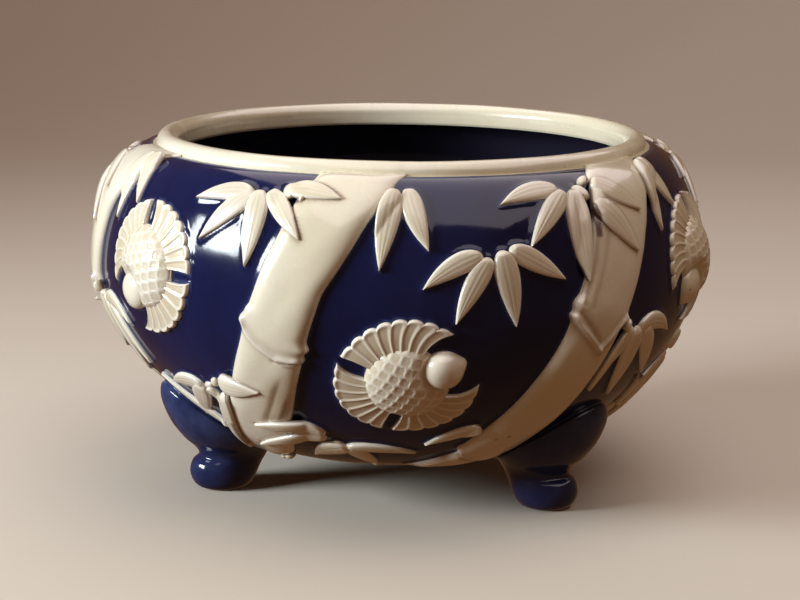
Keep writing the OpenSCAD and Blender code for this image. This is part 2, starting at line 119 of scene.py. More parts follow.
# Twig ends and buds: azimuth, share, half length, half width, turn, height
BUDS = {
    "shoulder": [[-20.6, 8.2, 5.2, 5.0, 10, 2.6], [-17.9, 10.6, 2.2, 1.6, 70, 2.2]],
    "lip": [[37.4, 6.7, 4.0, 2.5, 30, 2.0], [35.5, 9.8, 5.4, 3.3, -58, 2.3], [38.6, 11.6, 10.4, 4.2, 66, 2.3]],
    "waist": [[42.9, 42.6, 3.4, 2.2, 75, 3.4], [44.4, 44.4, 3.0, 2.4, 20, 3.0]],
    "root": [[-41.2, 62.4, 4.0, 2.6, 30, 2.2], [-38.8, 60.6, 3.8, 2.8, 60, 2.2]],
    "creeping": [[-33.6, 92.4, 2.8, 2.3, -20, 2.2], [-36.2, 93.2, 2.2, 1.7, -30, 1.7], [-14.8, 81, 3.0, 2.6, 0, 1.4]],
}
# Brown cracks and stains in the glaze: azimuth and share along each, its width in mm and its strength
CRACKS = [
    ([(38.5, 5.9), (37.2, 9.6), (36.4, 12.4), (36.6, 14.9), (36.9, 17.5), (36.7, 20.6)], 1.2, 1.7),
    ([(-20.3, 11.1), (-18.9, 11.5)], 1.2, 0.8),
    ([(-18.3, 15.4), (-17.5, 17.7), (-16.8, 19.5)], 1.0, 0.45),
    ([(-39.2, 73.8), (-40.6, 78.0), (-41.8, 82.5), (-42.4, 85.5)], 1.5, 0.9),
    ([(21.9, 76.1), (22.0, 76.1)], 0.8, 1.4),
    ([(24.6, 74.9), (24.8, 75.0)], 0.9, 1.4),
    ([(24.0, 78.8), (24.1, 78.8)], 0.5, 1.4),
    ([(26.0, 80.1), (26.1, 80.1)], 0.5, 1.4),
    ([(29.4, 80.4), (29.5, 80.4)], 0.7, 1.4),
    ([(28.0, 80.9), (28.1, 80.9)], 0.4, 1.4),
]
# Radius in mm at which the cracks' azimuths are measured
CRACK_R = 165
# Where a leaf is widest, and the sharpness of its taper
LOBE = 0.3
TAPER = 1.9
# Where a leaf crosses a cane: how far beyond the cane its bed begins, in mm, the share of its height
# that the leaf keeps there, how much higher than the bed it lies, and how deep in the bed its skirt reaches
BED_OVER = 8
THIN_ON_CANE = 0.72
BED_SLACK = 1.04
BED_DEEP = 0.8

# Ridges and grooves on the canes: points down the cane in mm and across it in half widths of 18 mm,
# then height or depth, width, and the brown that lies in it: staining, and in the groove along the tall cane's right
# side painted shade. The heights go with a ridge height of 1.6 mm
CANE_HALF = 18.0
RIDGE_OF = 1.6
TALL_RIDGES = [
    ([(101, -1.05), (106, -0.87), (110.4, -0.33), (113.4, 0.24), (112.4, 0.69), (110.4, 1.05)], 0.95, 1.5),
    ([(114.6, 0.3), (115.4, 0.55), (114.4, 0.8), (112.8, 1.05)], 0.6, 1.0),
]
TALL_GROOVES = [
    ([(103.4, -1.02), (108.6, -0.87), (113.0, -0.33), (115.6, 0.2)], 0.45, 1.2, 0.35),
    ([(115.6, 0.2), (114.2, 0.7), (112, 1.05)], 0.55, 0.8, 0.85),
    ([(97.6, -1.0), (102.6, -0.85), (107.2, -0.33), (110, 0.2), (109, 0.7), (106.6, 1.0)], 0.35, 1.8, 0.3),
    ([(121, 0.66), (132, 0.6), (148, 0.55), (166, 0.5)], 0.5, 3.6, 0.95),
    ([(124, 0.54), (134, 0.48), (150, 0.4), (166, 0.3)], 0.4, 1.2, 1.5),
    ([(136, 0.84), (150, 0.8), (166, 0.72)], 0.4, 1.0, 1.3),
    # A shallow groove along the tall cane's right side above its joint, browned as painted shade of that side
    ([(82, 0.93), (94, 0.92), (104, 0.94)], 0.3, 2.0, 0.55),
    ([(168, -0.72), (180, -0.66), (196, -0.5), (206, -0.3)], 0.5, 1.6, 0.6),
]
BENT_RIDGES = [
    ([(103.2, -1.24), (105.4, -1.05), (109.1, -0.55), (113.2, -0.02), (116, 0.26)], 1.5, 1.3),
    ([(116, 0.26), (107.7, 0.51), (98.3, 0.73), (95, 0.84)], 1.7, 1.5),
    ([(214.8, -1.0), (214.4, -0.3), (212.4, 0.4), (208, 1.0)], 0.6, 1.0),
]
BENT_GROOVES = [
    ([(101.4, -0.9), (106.2, -0.42), (110.4, 0.0), (112.6, 0.2)], 0.9, 1.2, 0.75),
    ([(111, 0.32), (104, 0.5), (96.6, 0.66)], 0.6, 1.1, 0.3),
    ([(106.6, -1.1), (112, -0.55), (116.4, -0.02), (119.4, 0.26)], 0.5, 1.5, 0.4),
    ([(119, 0.4), (111.4, 0.64), (102.6, 0.86)], 0.6, 1.3, 0.6),
    ([(50, -0.88), (62, -0.9), (75, -0.87), (97, -0.86)], 0.8, 1.1, 0.75),
    ([(56, -0.6), (75, -0.61), (97, -0.58)], 0.5, 1.4, 0.45),
    ([(217.4, -1.0), (217, -0.3), (214.8, 0.4), (210.6, 1.0)], 0.6, 1.1, 0.8),
]
# Knobs at the ends of the joints: side, mm down the cane, half length, share of the half width
TALL_KNOBS = [(-1, 101, 3.6, 0.15), (-1, 95.5, 2.4, 0.05), (1, 104.6, 3.0, 0.13), (1, 111.6, 1.8, 0.07)]
BENT_KNOBS = [(-1, 98.4, 3.8, 0.13), (-1, 104.2, 2.2, 0.13), (1, 97.5, 3.5, 0.08),
              (-1, 212.6, 2.4, 0.06), (1, 207, 2.2, 0.07)]
# All of each cane, and the mm down it between which its rows are closer together
CANES = {
    "tall": (TALL_CANE, TALL_RIDGES, TALL_GROOVES, TALL_KNOBS, [(94, 121)]),
    "bent": (BENT_CANE, BENT_RIDGES, BENT_GROOVES, BENT_KNOBS, [(91, 123), (203, 222)]),
}
# Grooves that start between these mm down a cane fade in, since the joint above runs over them
FADE_FROM, FADE_TO = 120, 140

# Sparrows: azimuth, share, direction of the head, hand, share of the full spread, share of the head's height,
# and the head's place ahead of and beside the middle of the breast
SPARROWS = [[-51, 31.5, -128, -1, 0.96, 0.66, 17.6, 0.3], [1.3, 55, 21, 1, 1, 1, 21, 2.4]]
# Width of the breast as a share of its length
BREAST_WIDE = 1.08
# Wings and tail: where they start and end at the breast and at the tips, counted from the head, and their feathers
FANS = {"wings": [[45, 130, 30, 133.5, 8], [-116, -43, -122.5, -24, 7]], "tail": [[150, 228, 140.5, 231, 7]]}
SPARROW_PARTS = ("breast", "head", "wings", "tail")

# Feet: inner and outer edge of each ring as distance from the foot's middle and height,
# and its half width as a share of the toe's
FOOT_RINGS = [
    [-11, 0, 11, 0, 0.62], [-15, 1.2, 15, 1.2, 0.8], [-18, 4.5, 18, 4.5, 0.94], [-20.5, 9, 19.5, 10, 1],
    [-23, 14, 18, 16, 0.96], [-25.5, 18, 14, 20, 0.95], [-27, 21, 17, 25.5, 1.08], [-28, 24, 22.5, 30.5, 1.28],
]
# How far a foot's top reaches inwards and outwards from its middle, in mm, and the size its heights go with
PATCH_IN = 29
PATCH_OUT = 33.5
FOOT_RISE_OF = 29.5

# The camera: place in metres, tilt and roll in degrees, and focal length for a sensor 36 mm wide
CAMERA_AT = (0, -1.2, 0.3565)
CAMERA_TILT = 90 - 11.86
CAMERA_ROLL = 0.53
FOCAL_LENGTH = 92.2
# Lamps: size, place and aim in metres, colour, whether it lights and whether it is mirrored, spread in degrees
LAMPS = {
    "window": ((0.85, 0.50), (-1.83, -0.62, 0.68), (0, 0, 0.14), (0.90, 0.975, 1.0), (True, True), 75),
    "sky": ((2.2, 1.6), (0.5, -0.3, 2.0), (0, 0, 0.1), (1.0, 0.94, 0.87), (True, False), 180),
    "ceiling": ((3.6, 5.4), (0.7, 0, 2.3), (0.7, 0, 0), (1.0, 0.89, 0.92), (False, True), 180),
}
# The light all round is the warm light of a room
ROOM_TINT = (1.0, 0.49, 0.23, 1.0)
# Floor and backdrop in metres: near edge, where the floor turns up, radius of the turn, height and half width
FLOOR_NEAR, FLOOR_TURN, TURN_R, BACK_HIGH, FLOOR_HALF = -3.0, 1.4, 1.2, 3.5, 4.0


def length(name, mm, about):
    """A length property whose default is given in millimetres."""
    return bpy.props.FloatProperty(
        name=name, description=about, default=mm * MM, min=0.0, unit="LENGTH", subtype="DISTANCE", precision=4)


def colour(name, rgb, about):
    """A colour property."""
    return bpy.props.FloatVectorProperty(
        name=name, description=about, default=rgb, size=3, min=0.0, max=1.0, subtype="COLOR")


def power(name, watts, about):
    """A property for the power of a lamp."""
    return bpy.props.FloatProperty(name=name, description=about, default=watts, min=0.0, unit="POWER")


class CachepotBowl(bpy.types.PropertyGroup):
    foot_rise: length("Foot rise", 29.5, "Height of the underside above the floor")
    belly_up: length("Belly height", 104.5, "Height of the widest place above the underside")
    neck_up: length("Neck height", 171, "Height of the neck above the underside")
    belly_r: length("Belly radius", 176.4, "Radius at the widest place")
    base_r: length("Base radius", 93.2, "Radius of the flat underside")
    neck_r: length("Neck radius", 143.4, "Radius at the neck")
    wall: length("Wall", 8, "Thickness of the wall")
    floor_t: length("Floor", 9, "Thickness of the floor")
    base_sweep: length("Base sweep", 26.2, "How far the underside runs out before it turns up")
    belly_sweep: length("Belly sweep", 45, "How far the belly runs down before it turns in")
    pooled: length("Pooled glaze", 0.7, "How high the glaze pools beside the pieces in relief")


class CachepotLip(bpy.types.PropertyGroup):
    lip_w: length("Lip width", 12.4, "Width of the rolled lip")
    lip_h: length("Lip height", 12, "Height of the rolled lip")
    lip_rise: length("Lip rise", 0.9, "Height of the roll's middle above the neck")
    lip_clear: length("Lip gap", 0.3, "Gap between the lip and the neck")
    glaze_run: length("Glaze run", 1.7, "How far the ivory glaze runs over the neck")


class CachepotFeet(bpy.types.PropertyGroup):
    foot_turn: bpy.props.FloatProperty(
        name="First foot", description="Azimuth of the first foot", default=math.radians(-70), subtype="ANGLE")
    foot_out: length("Foot distance", 110, "Distance from the pot's axis to the middle of a foot")
    knee_w: length("Knee width", 58, "Width of a foot across its knee")
    toe_w: length("Toe width", 35, "Width of a foot across its toe")
    knee_swell: length("Knee swell", 8, "How far the knee swells out of the wall")


class CachepotRelief(bpy.types.PropertyGroup):
    cane_h: length("Cane height", 5.5, "Height of a cane over the wall")
    ridge_h: length("Ridge height", 1.6, "Height of a joint's ridge over its cane")
    leaf_h: length("Leaf height", 2.6, "Height of a leaf over what it lies on")
    leaf_edge: length("Leaf edge", 1.5, "Height of a leaf's edge")


class CachepotSparrows(bpy.types.PropertyGroup):
    spread_r: length("Spread", 38.5, "Radius of a sparrow with its feathers spread")
    breast_r: length("Breast radius", 22, "Radius of a sparrow's breast")
    breast_h: length("Breast height", 9, "Height of a sparrow's breast")
    head_r: length("Head radius", 11.2, "Radius of a sparrow's head")
    head_h: length("Head height", 10, "Height of a sparrow's head")
    feather_h: length("Feather height", 3.5, "Height of the feathers at the breast")
    feather_tip: length("Feather tip", 2.0, "Height of the feathers at their tips")
    cup_depth: length("Cup depth", 0.55, "Depth of the small cupped feathers on the breast")


class CachepotGlazes(bpy.types.PropertyGroup):
    cobalt: colour("Cobalt", (0.0046, 0.0066, 0.037), "Body of the blue glaze")
    cobalt_thin: colour("Thin cobalt", (0.013, 0.020, 0.092), "Blue glaze where it lies thin")
    milky: colour("Milky edge", (0.080, 0.115, 0.28), "Edge where the blue glaze meets the ivory one")
    inside: colour("Inside", (0.020, 0.018, 0.034), "Blue glaze inside the bowl")
    ivory: colour("Ivory", (0.80, 0.745, 0.575), "Ivory glaze")
    ivory_light: colour("Light ivory", (0.88, 0.84, 0.76), "Ivory glaze on rounded edges")
    # Tan and umber serve as stains and also as painted shade in crevices, under leaves and on shaded parts
    tan: colour("Tan", (0.54, 0.42, 0.27), "Stain in shallow hollows")
    umber: colour("Umber", (0.10, 0.046, 0.022), "Stain in deep creases")


class CachepotStudio(bpy.types.PropertyGroup):
    floor: colour("Floor", (0.70, 0.64, 0.56), "Colour of the floor")
    window: power("Window", 9.9, "Strength of the light from the left")
    sky: power("Sky", 18.0, "Strength of the light from above")
    ceiling: power("Ceiling", 140.0, "Strength of the sheen from above")
    room: bpy.props.FloatProperty(name="Room", description="Strength of the light all round", default=0.15)


def in_mm(group):
    """A property group's lengths in millimetres, its colours and its other values as they are."""
    plain = SimpleNamespace()
    for prop in group.bl_rna.properties:
        if prop.type != "FLOAT":
            continue
        value = getattr(group, prop.identifier)
        if prop.is_array:
            value = tuple(value)
        elif prop.unit == "LENGTH":
            value /= MM
        setattr(plain, prop.identifier, value)
    return plain


# Shapes in numbers


def mix(a, b, t):
    """From a to b as t goes from 0 to 1."""
    return a + (b - a) * t


def smooth(low, high, x):
    """A soft step: 0 up to low and 1 from high on."""
    t = np.clip((x - low) / (high - low), 0, 1)
    return t * t * (3 - 2 * t)


def bump(x, middle, width):
    """A soft bump of height 1."""
    return np.exp(-((x - middle) / width) ** 2)


def unit(rows):
    """Each row divided by its length."""
    return rows / np.linalg.norm(rows, axis=1)[:, None]


def bezier(p, t):
    """The curve of four control points."""
    t = np.asarray(t, float)[..., None]
    p = [np.asarray(q, float) for q in p]
    return (1 - t) ** 3 * p[0] + 3 * (1 - t) ** 2 * t * p[1] + 3 * (1 - t) * t * t * p[2] + t ** 3 * p[3]


def along(points, t):
    """A smooth line through points, where t counts the points."""
    p = np.asarray(points, float)
    t = np.asarray(t, float)
    last = len(p) - 1
    i = np.minimum(np.floor(t).astype(int), last - 1)
    u = (t - i)[..., None]
    a, b, c, d = p[np.maximum(i - 1, 0)], p[i], p[i + 1], p[np.minimum(i + 2, last)]
    return 0.5 * (2 * b + (c - a) * u + (2 * a - 5 * b + 4 * c - d) * u ** 2 + (3 * b - a - 3 * c + d) * u ** 3)


def hand(turn, d, size):
    """The small unevenness of a hand-made surface, between -1 and 1, with waves of about that size in mm."""
    about_r = 150
    x, y = np.radians(turn) * about_r / size, np.asarray(d) / size
    return (np.sin(2.1 * x + 0.7 * np.sin(1.3 * y)) * np.cos(1.7 * y + 0.9 * np.sin(1.1 * x + 2))
            + 0.6 * np.sin(3.7 * x - 2.3 * y + 1.4) + 0.4 * np.cos(5.3 * y + 4.1 * x + 0.5)) / 2


class Wall:
    """The bowl's outside: azimuth in degrees, run in mm down from the neck, height in mm over it."""

    def __init__(self, bowl):
        self.base_z = bowl.foot_rise
        self.belly_z = self.base_z + bowl.belly_up
        self.neck_z = self.base_z + bowl.neck_up
        self.bowl = bowl
        line = np.concatenate([self.shoulder(bowl.neck_r, self.neck_z, bowl.belly_r),
                               self.flank(bowl.belly_r, bowl.base_r, self.base_z)[1:]])
        self.line = line
        self.runs = np.concatenate([[0], np.cumsum(np.hypot(*np.diff(line, axis=0).T))])
        self.length = self.runs[-1]

    def shoulder(self, r_top, z_top, r_belly, steps=90):
        """The profile from the top down to the belly."""
        a = np.linspace(0, np.pi / 2, steps + 1)
        return np.stack([r_top + (r_belly - r_top) * np.sin(a),
                         self.belly_z + (z_top - self.belly_z) * np.cos(a)], 1)

    def flank(self, r_belly, r_low, z_low, steps=110):
        """The profile from the belly down to the base."""
        b = self.bowl
        return bezier([(r_belly, self.belly_z), (r_belly, self.belly_z - b.belly_sweep),
                       (r_low + b.base_sweep, z_low + b.base_sweep / 4), (r_low, z_low)],
                      np.linspace(0, 1, steps + 1))

    def down(self, share):
        """The run of a place given in percent of the way down."""
        return np.asarray(share, float) / 100 * self.length

    def r(self, d):
        return np.interp(d, self.runs, self.line[:, 0])

    def z(self, d):
        return np.interp(d, self.runs, self.line[:, 1])

    def point(self, turn, d, h):
        """Points in mm, h over the wall."""
        turn, d, h = np.broadcast_arrays(turn, d, h)
        tr, tz = self.r(d + 2) - self.r(d - 2), self.z(d + 2) - self.z(d - 2)
        size = np.hypot(tr, tz)
        return round_axis(self.r(d) - h * tz / size, self.z(d) + h * tr / size, turn)

    def beside(self, turn, d, across, up):
        """The azimuth and run of a place that lies across and up from another."""
        return turn + np.degrees(across / self.r(d - up)), d - up


# Meshes


def border_of(n, m):
    """The grid places round the border of a grid, in order."""
    return ([(0, j) for j in range(m)] + [(i, m - 1) for i in range(1, n)]
            + [(n - 1, j) for j in range(m - 2, -1, -1)] + [(i, 0) for i in range(n - 2, 0, -1)])


def quads(n, m, rows, steps, first=0):
    """Faces of a grid of n rows of m points. A step past its last row or column leads back to the first."""
    at = lambda i, j: first + i % n * m + j % m
    return [(at(i, j), at(i, j + 1), at(i + 1, j + 1), at(i + 1, j)) for i in range(rows) for j in range(steps)]


class Clay:
    """Collects surfaces into one mesh, with the marks that colour the glaze: tan and umber for stains and painted shade
    in hollows and creases, and light edges.
    """

    # The skirts carry umber where each piece meets what carries it: partly glaze pooled in the crevice, partly painted
    # shade
    SKIRT_MARKS = {"hollow": 0.0, "crease": 0.6, "edge": 0.0}

    def __init__(self):
        self.verts, self.faces, self.count = [], [], 0
        self.marks = {label: [] for label in self.SKIRT_MARKS}

    def add(self, points, faces, grid, marks=(0.0, 0.0, 0.0), before=0):
        """Points of a grid, with so many before it and the skirt's after it. The marks spread over the grid."""
        skirt = len(points) - before - grid[0] * grid[1]
        for (label, low), mark in zip(self.SKIRT_MARKS.items(), marks):
            spread = np.broadcast_to(np.clip(mark, 0.0, 1.0), grid).ravel()
            self.marks[label].append(np.concatenate([np.zeros(before), spread, np.full(skirt, low)]))
        self.verts.append(points)
        self.faces += [tuple(i + self.count for i in face) for face in faces]
        self.count += len(points)

    def sheet(self, top, low, marks, flip=True):
        """A closed slab: a grid of top points, longer than wide, and a lower point under each of its border."""
        n, m = top.shape[:2]
        border = border_of(n, m)
        points = np.concatenate([top.reshape(-1, 3), np.array([low[place] for place in border])])
        at = {place: n * m + k for k, place in enumerate(border)}
        faces = quads(n, m, n - 1, m - 1)
        faces += [(b[0] * m + b[1], a[0] * m + a[1], at[a], at[b]) for a, b in zip(border, border[1:] + border[:1])]
        under = [[at[0, j] for j in range(m)], *([at[i, 0], at[i, m - 1]] for i in range(1, n - 1)),
                 [at[n - 1, j] for j in range(m)]]
        faces += [tuple((row + after[::-1])[::-1]) for row, after in zip(under[:-1], under[1:])]
        self.add(points, [face[::-1] for face in faces] if flip else faces, (n, m), marks)

    def dome(self, middle, rings, low, marks):
        """A closed dome: a middle point, rings of points outwards, and a lower ring."""
        n, m = rings.shape[:2]
        faces = [(0, 1 + j, 1 + (j + 1) % m) for j in range(m)]
        faces += [(a, d, c, b) for a, b, c, d in quads(n + 1, m, n, m, 1)]
        faces.append(tuple(range(1 + n * m, 1 + n * m + m))[::-1])
        self.add(np.concatenate([[middle], rings.reshape(-1, 3), low]), faces, (n, m), marks, 1)

    def wrapped(self, points, marks=(0.0, 0.0, 0.0)):
        """A closed ring: a grid of points that closes on itself both ways."""
        n, m = points.shape[:2]
        self.add(points.reshape(-1, 3), quads(n, m, n, m), (n, m), marks)

    def build(self, name, nodes, slot, material, **extra):
        """Makes the object, which stands for those CAD nodes. Extra marks cover all its points."""
        mesh = bpy.data.meshes.new(name)
        mesh.from_pydata((np.concatenate(self.verts) * MM).tolist(), [], self.faces)
        marks = {label: np.concatenate(values) for label, values in self.marks.items()}
        for label, values in {**marks, **extra}.items():
            layer = mesh.attributes.new(label, "FLOAT", "POINT")
            layer.data.foreach_set("value", np.ascontiguousarray(values, np.float32).ravel())
        mesh.polygons.foreach_set("use_smooth", [True] * len(mesh.polygons))
        mesh.materials.append(material)
        mesh.update()
        piece = bpy.data.objects.new(name, mesh)
        bpy.context.scene.collection.objects.link(piece)
        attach(piece, "root")
        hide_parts(*nodes)


def round_axis(r, z, turns):
    """Points at radii r and heights z, at the azimuths turns."""
    a = np.radians(turns)
    return np.stack(np.broadcast_arrays(r * np.sin(a), -r * np.cos(a), z), -1)


def full_turn(steps):
    """Azimuths once round."""
    return np.linspace(0, 360, steps, endpoint=False)[None, :]


def round_grid(steps, rings):
    """Angles once round, and shares of the radius that lie closer together outwards."""
    return np.radians(full_turn(steps)), np.sin(np.linspace(0, np.pi / 2, rings))[1:, None]


def across_grid(steps):
    """Places across a piece from -1 to 1, closer together at its sides."""
    return np.sin(np.linspace(-np.pi / 2, np.pi / 2, steps))[None, :]


def tree_of(points):
    """A tree that finds the nearest of the points."""
    tree = KDTree(len(points))
    for i, point in enumerate(points):
        tree.insert(point, i)
    tree.balance()
    return tree


def distance(tree, points):
    """How far each point is from the nearest one of the tree, at most the reach."""
    found = [min(REACH, tree.find(point)[2]) for point in points.reshape(-1, 3)]
    return np.array(found).reshape(points.shape[:-1])


# Glazes


class Nodes:
    """Short words for making a material's nodes."""

    def __init__(self, name):
        self.material = bpy.data.materials.new(name)
        self.material.use_nodes = True
        self.tree = self.material.node_tree
        self.tree.nodes.clear()
        self.out = self.add("ShaderNodeOutputMaterial")
        self.shader = self.add("ShaderNodeBsdfPrincipled")
        self.link(self.shader.outputs["BSDF"], self.out.inputs["Surface"])
        self.place = self.add("ShaderNodeTexCoord").outputs["Object"]

    def add(self, kind, **settings):
        node = self.tree.nodes.new(kind)
        for key, value in settings.items():
            setattr(node, key, value)
        return node

    def link(self, a, b):
        self.tree.links.new(a, b)

    def put(self, socket, value):
        if isinstance(value, bpy.types.NodeSocket):
            self.link(value, socket)
        elif isinstance(value, (tuple, list)) and len(value) == 3 and len(socket.default_value) == 4:
            socket.default_value = (*value, 1.0)
        else:
            socket.default_value = value

    def mark(self, label):
        return self.add("ShaderNodeAttribute", attribute_name=label).outputs["Fac"]

    def noise(self, scale, detail, where=None):
        node = self.add("ShaderNodeTexNoise")
        self.put(node.inputs["Vector"], where or self.place)
        node.inputs["Scale"].default_value = scale
        node.inputs["Detail"].default_value = detail
        return node.outputs["Fac"]

    def stretched(self, x, y, z):
        node = self.add("ShaderNodeMapping")
        self.link(self.place, node.inputs["Vector"])
        node.inputs["Scale"].default_value = (x, y, z)
        return node.outputs["Vector"]

    def cells(self, scale, feature="DISTANCE_TO_EDGE"):
        node = self.add("ShaderNodeTexVoronoi", feature=feature)
        self.link(self.place, node.inputs["Vector"])
        node.inputs["Scale"].default_value = scale
        return node.outputs["Distance"]

    def span(self, value, low, high, to_low=0.0, to_high=1.0, kind="SMOOTHSTEP"):
        node = self.add("ShaderNodeMapRange", interpolation_type=kind)
        keys = "Value", "From Min", "From Max", "To Min", "To Max"
        for key, v in zip(keys, (value, low, high, to_low, to_high)):
            self.put(node.inputs[key], v)
        return node.outputs["Result"]

    def combine(self, kind, a, b):
        node = self.add("ShaderNodeMath", operation=kind)
        self.put(node.inputs[0], a)
        self.put(node.inputs[1], b)
        return node.outputs[0]

    def times(self, a, b):
        return self.combine("MULTIPLY", a, b)

    def blend(self, share, a, b):
        node = self.add("ShaderNodeMix", data_type="RGBA")
        self.put(node.inputs[0], share)
        self.put(node.inputs[6], a)
        self.put(node.inputs[7], b)
        return node.outputs[2]

    def raised(self, height, strength, distance, under=None):
        node = self.add("ShaderNodeBump")
        node.inputs["Strength"].default_value = strength
        node.inputs["Distance"].default_value = distance
        self.link(height, node.inputs["Height"])
        if under:
            self.link(under, node.inputs["Normal"])
        return node.outputs["Normal"]


def cobalt_glaze(colours):
    """Deep glossy blue that thins to a milky edge beside the ivory pieces."""
    if "cobalt glaze" in bpy.data.materials:
        return bpy.data.materials["cobalt glaze"]
    n = Nodes("cobalt glaze")
    cloud = n.span(n.noise(9, 4), 0.35, 0.7)
    streak = n.span(n.noise(26, 3, where=n.stretched(1, 1, 0.25)), 0.42, 0.72)
    body = n.blend(n.times(cloud, 0.5), colours.cobalt, colours.cobalt_thin)
    body = n.blend(n.times(streak, 0.35), body, colours.cobalt_thin)
    grain = n.span(n.noise(420, 2), 0.6, 0.78)
    body = n.blend(n.times(grain, 0.25), body, colours.cobalt_thin)
    # The milky blue follows thin glaze beside the relief, and on the feet it also stands for a painted sheen
    thin = n.times(n.mark("thin"), n.span(n.noise(60, 3), 0.3, 0.65, 0.35, 1.0))
    body = n.blend(thin, body, colours.milky)
    ragged = n.combine("ADD", n.mark("ivory"), n.span(n.noise(70, 2), 0.2, 0.8, -0.14, 0.14, "LINEAR"))
    body = n.blend(n.span(ragged, 0.46, 0.56), body, colours.ivory)
    body = n.blend(n.mark("inside"), body, colours.inside)
    n.put(n.shader.inputs["Base Color"], body)
    n.put(n.shader.inputs["Roughness"], n.span(n.noise(35, 3), 0.3, 0.7, 0.07, 0.13, "LINEAR"))
    n.shader.inputs["Specular IOR Level"].default_value = 0.34
    slow = n.raised(n.noise(22, 2), 0.35, 0.0010)
    n.put(n.shader.inputs["Normal"], n.raised(n.noise(240, 2), 0.10, 0.0003, slow))
    return n.material


def ivory_glaze(colours):
    """Warm glossy ivory, lighter on edges, tan in hollows and brown in creases; the tan and brown are stains and also
    painted shade.
    """
    if "ivory glaze" in bpy.data.materials:
        return bpy.data.materials["ivory glaze"]
    n = Nodes("ivory glaze")
    cloud = n.span(n.noise(14, 4), 0.35, 0.7)
    body = n.blend(n.times(cloud, 0.5), colours.ivory, colours.ivory_light)
    body = n.blend(n.mark("edge"), body, colours.ivory_light)
    # Tan and umber follow the marks: stains in the glaze, and painted shade at the pieces' feet, under leaves and on
    # shaded parts
    hollow = n.times(n.mark("hollow"), n.span(n.noise(45, 4), 0.3, 0.7, 0.55, 1.0))
    body = n.blend(hollow, body, colours.tan)
    crease = n.times(n.mark("crease"), n.span(n.noise(55, 4), 0.3, 0.7, 0.65, 1.0))
    body = n.blend(crease, body, colours.umber)
    craze = n.span(n.cells(230), 0.0, 0.035, 1.0, 0.0)
    body = n.blend(n.times(craze, 0.10), body, colours.tan)
    speck = n.span(n.cells(95, "F1"), 0.05, 0.13, 1.0, 0.0)
    speck = n.times(speck, n.span(n.noise(33, 1), 0.66, 0.72))
    body = n.blend(n.times(speck, 0.75), body, colours.umber)
    n.put(n.shader.inputs["Base Color"], body)
    n.put(n.shader.inputs["Roughness"], n.span(n.noise(40, 3), 0.3, 0.7, 0.20, 0.32, "LINEAR"))
    n.shader.inputs["Specular IOR Level"].default_value = 0.5
    n.shader.inputs["Coat Weight"].default_value = 0.55
    n.shader.inputs["Coat Roughness"].default_value = 0.08
    slow = n.raised(n.noise(70, 3), 0.30, 0.0008)
    n.put(n.shader.inputs["Normal"], n.raised(n.noise(520, 2), 0.12, 0.0002, slow))
    return n.material


# Pieces in relief


def cane_round(relief, d, share, x):
    """Height of a cane's round body, which starts low where it runs into the lip and thins towards its end."""
    return (relief.cane_h * np.clip(LIP_SHARE + d / LIP_REACH, 0, 1) * (1 - THIN_BY * smooth(THIN_FROM, THIN_TO, share))
            * np.sqrt(1 - np.minimum(1, np.abs(x)) ** 4))


def bed(wall, relief, turn, d):
    """Height of the bed that a leaf lies on, over the nearest cane of its sector."""
    share = 100 * d / wall.length
    step = 3
    best = np.zeros(np.shape(turn))
    for line in (TALL_CANE, BENT_CANE):
        p = np.asarray(line, float)
        middle = np.interp(share, p[:, 1], p[:, 0])
        lean = (np.radians(np.interp(share + step, p[:, 1], p[:, 0]) - np.interp(share - step, p[:, 1], p[:, 0]))
                * wall.r(d) / wall.down(2 * step))
        half = (np.interp(share, p[:, 1], p[:, 2]) + BED_OVER) * np.hypot(1, lean)
        x = np.abs(np.radians(turn - middle)) * wall.r(d) / half
        soft = cane_round(relief, d, share, 0.0) * (1 - np.minimum(1, x) ** 3)
        best = np.maximum(best, np.where(share <= p[-1, 1], soft, 0))
    return best


def cracks(wall, place):
    """How strongly the brown of the cracks shows at places on the wall."""
    found = np.zeros(np.shape(place[0]))
    for line, wide, strong in CRACKS:
        p = np.asarray(line, float)
        points = list(zip(np.radians(p[:, 0]) * CRACK_R, wall.down(p[:, 1])))
        away = from_line(np.radians(place[0]) * CRACK_R, place[1], points, 1.0)
        found = np.maximum(found, strong * (1 - smooth(0.3 * wide, 1.4 * wide, away)))
    return found


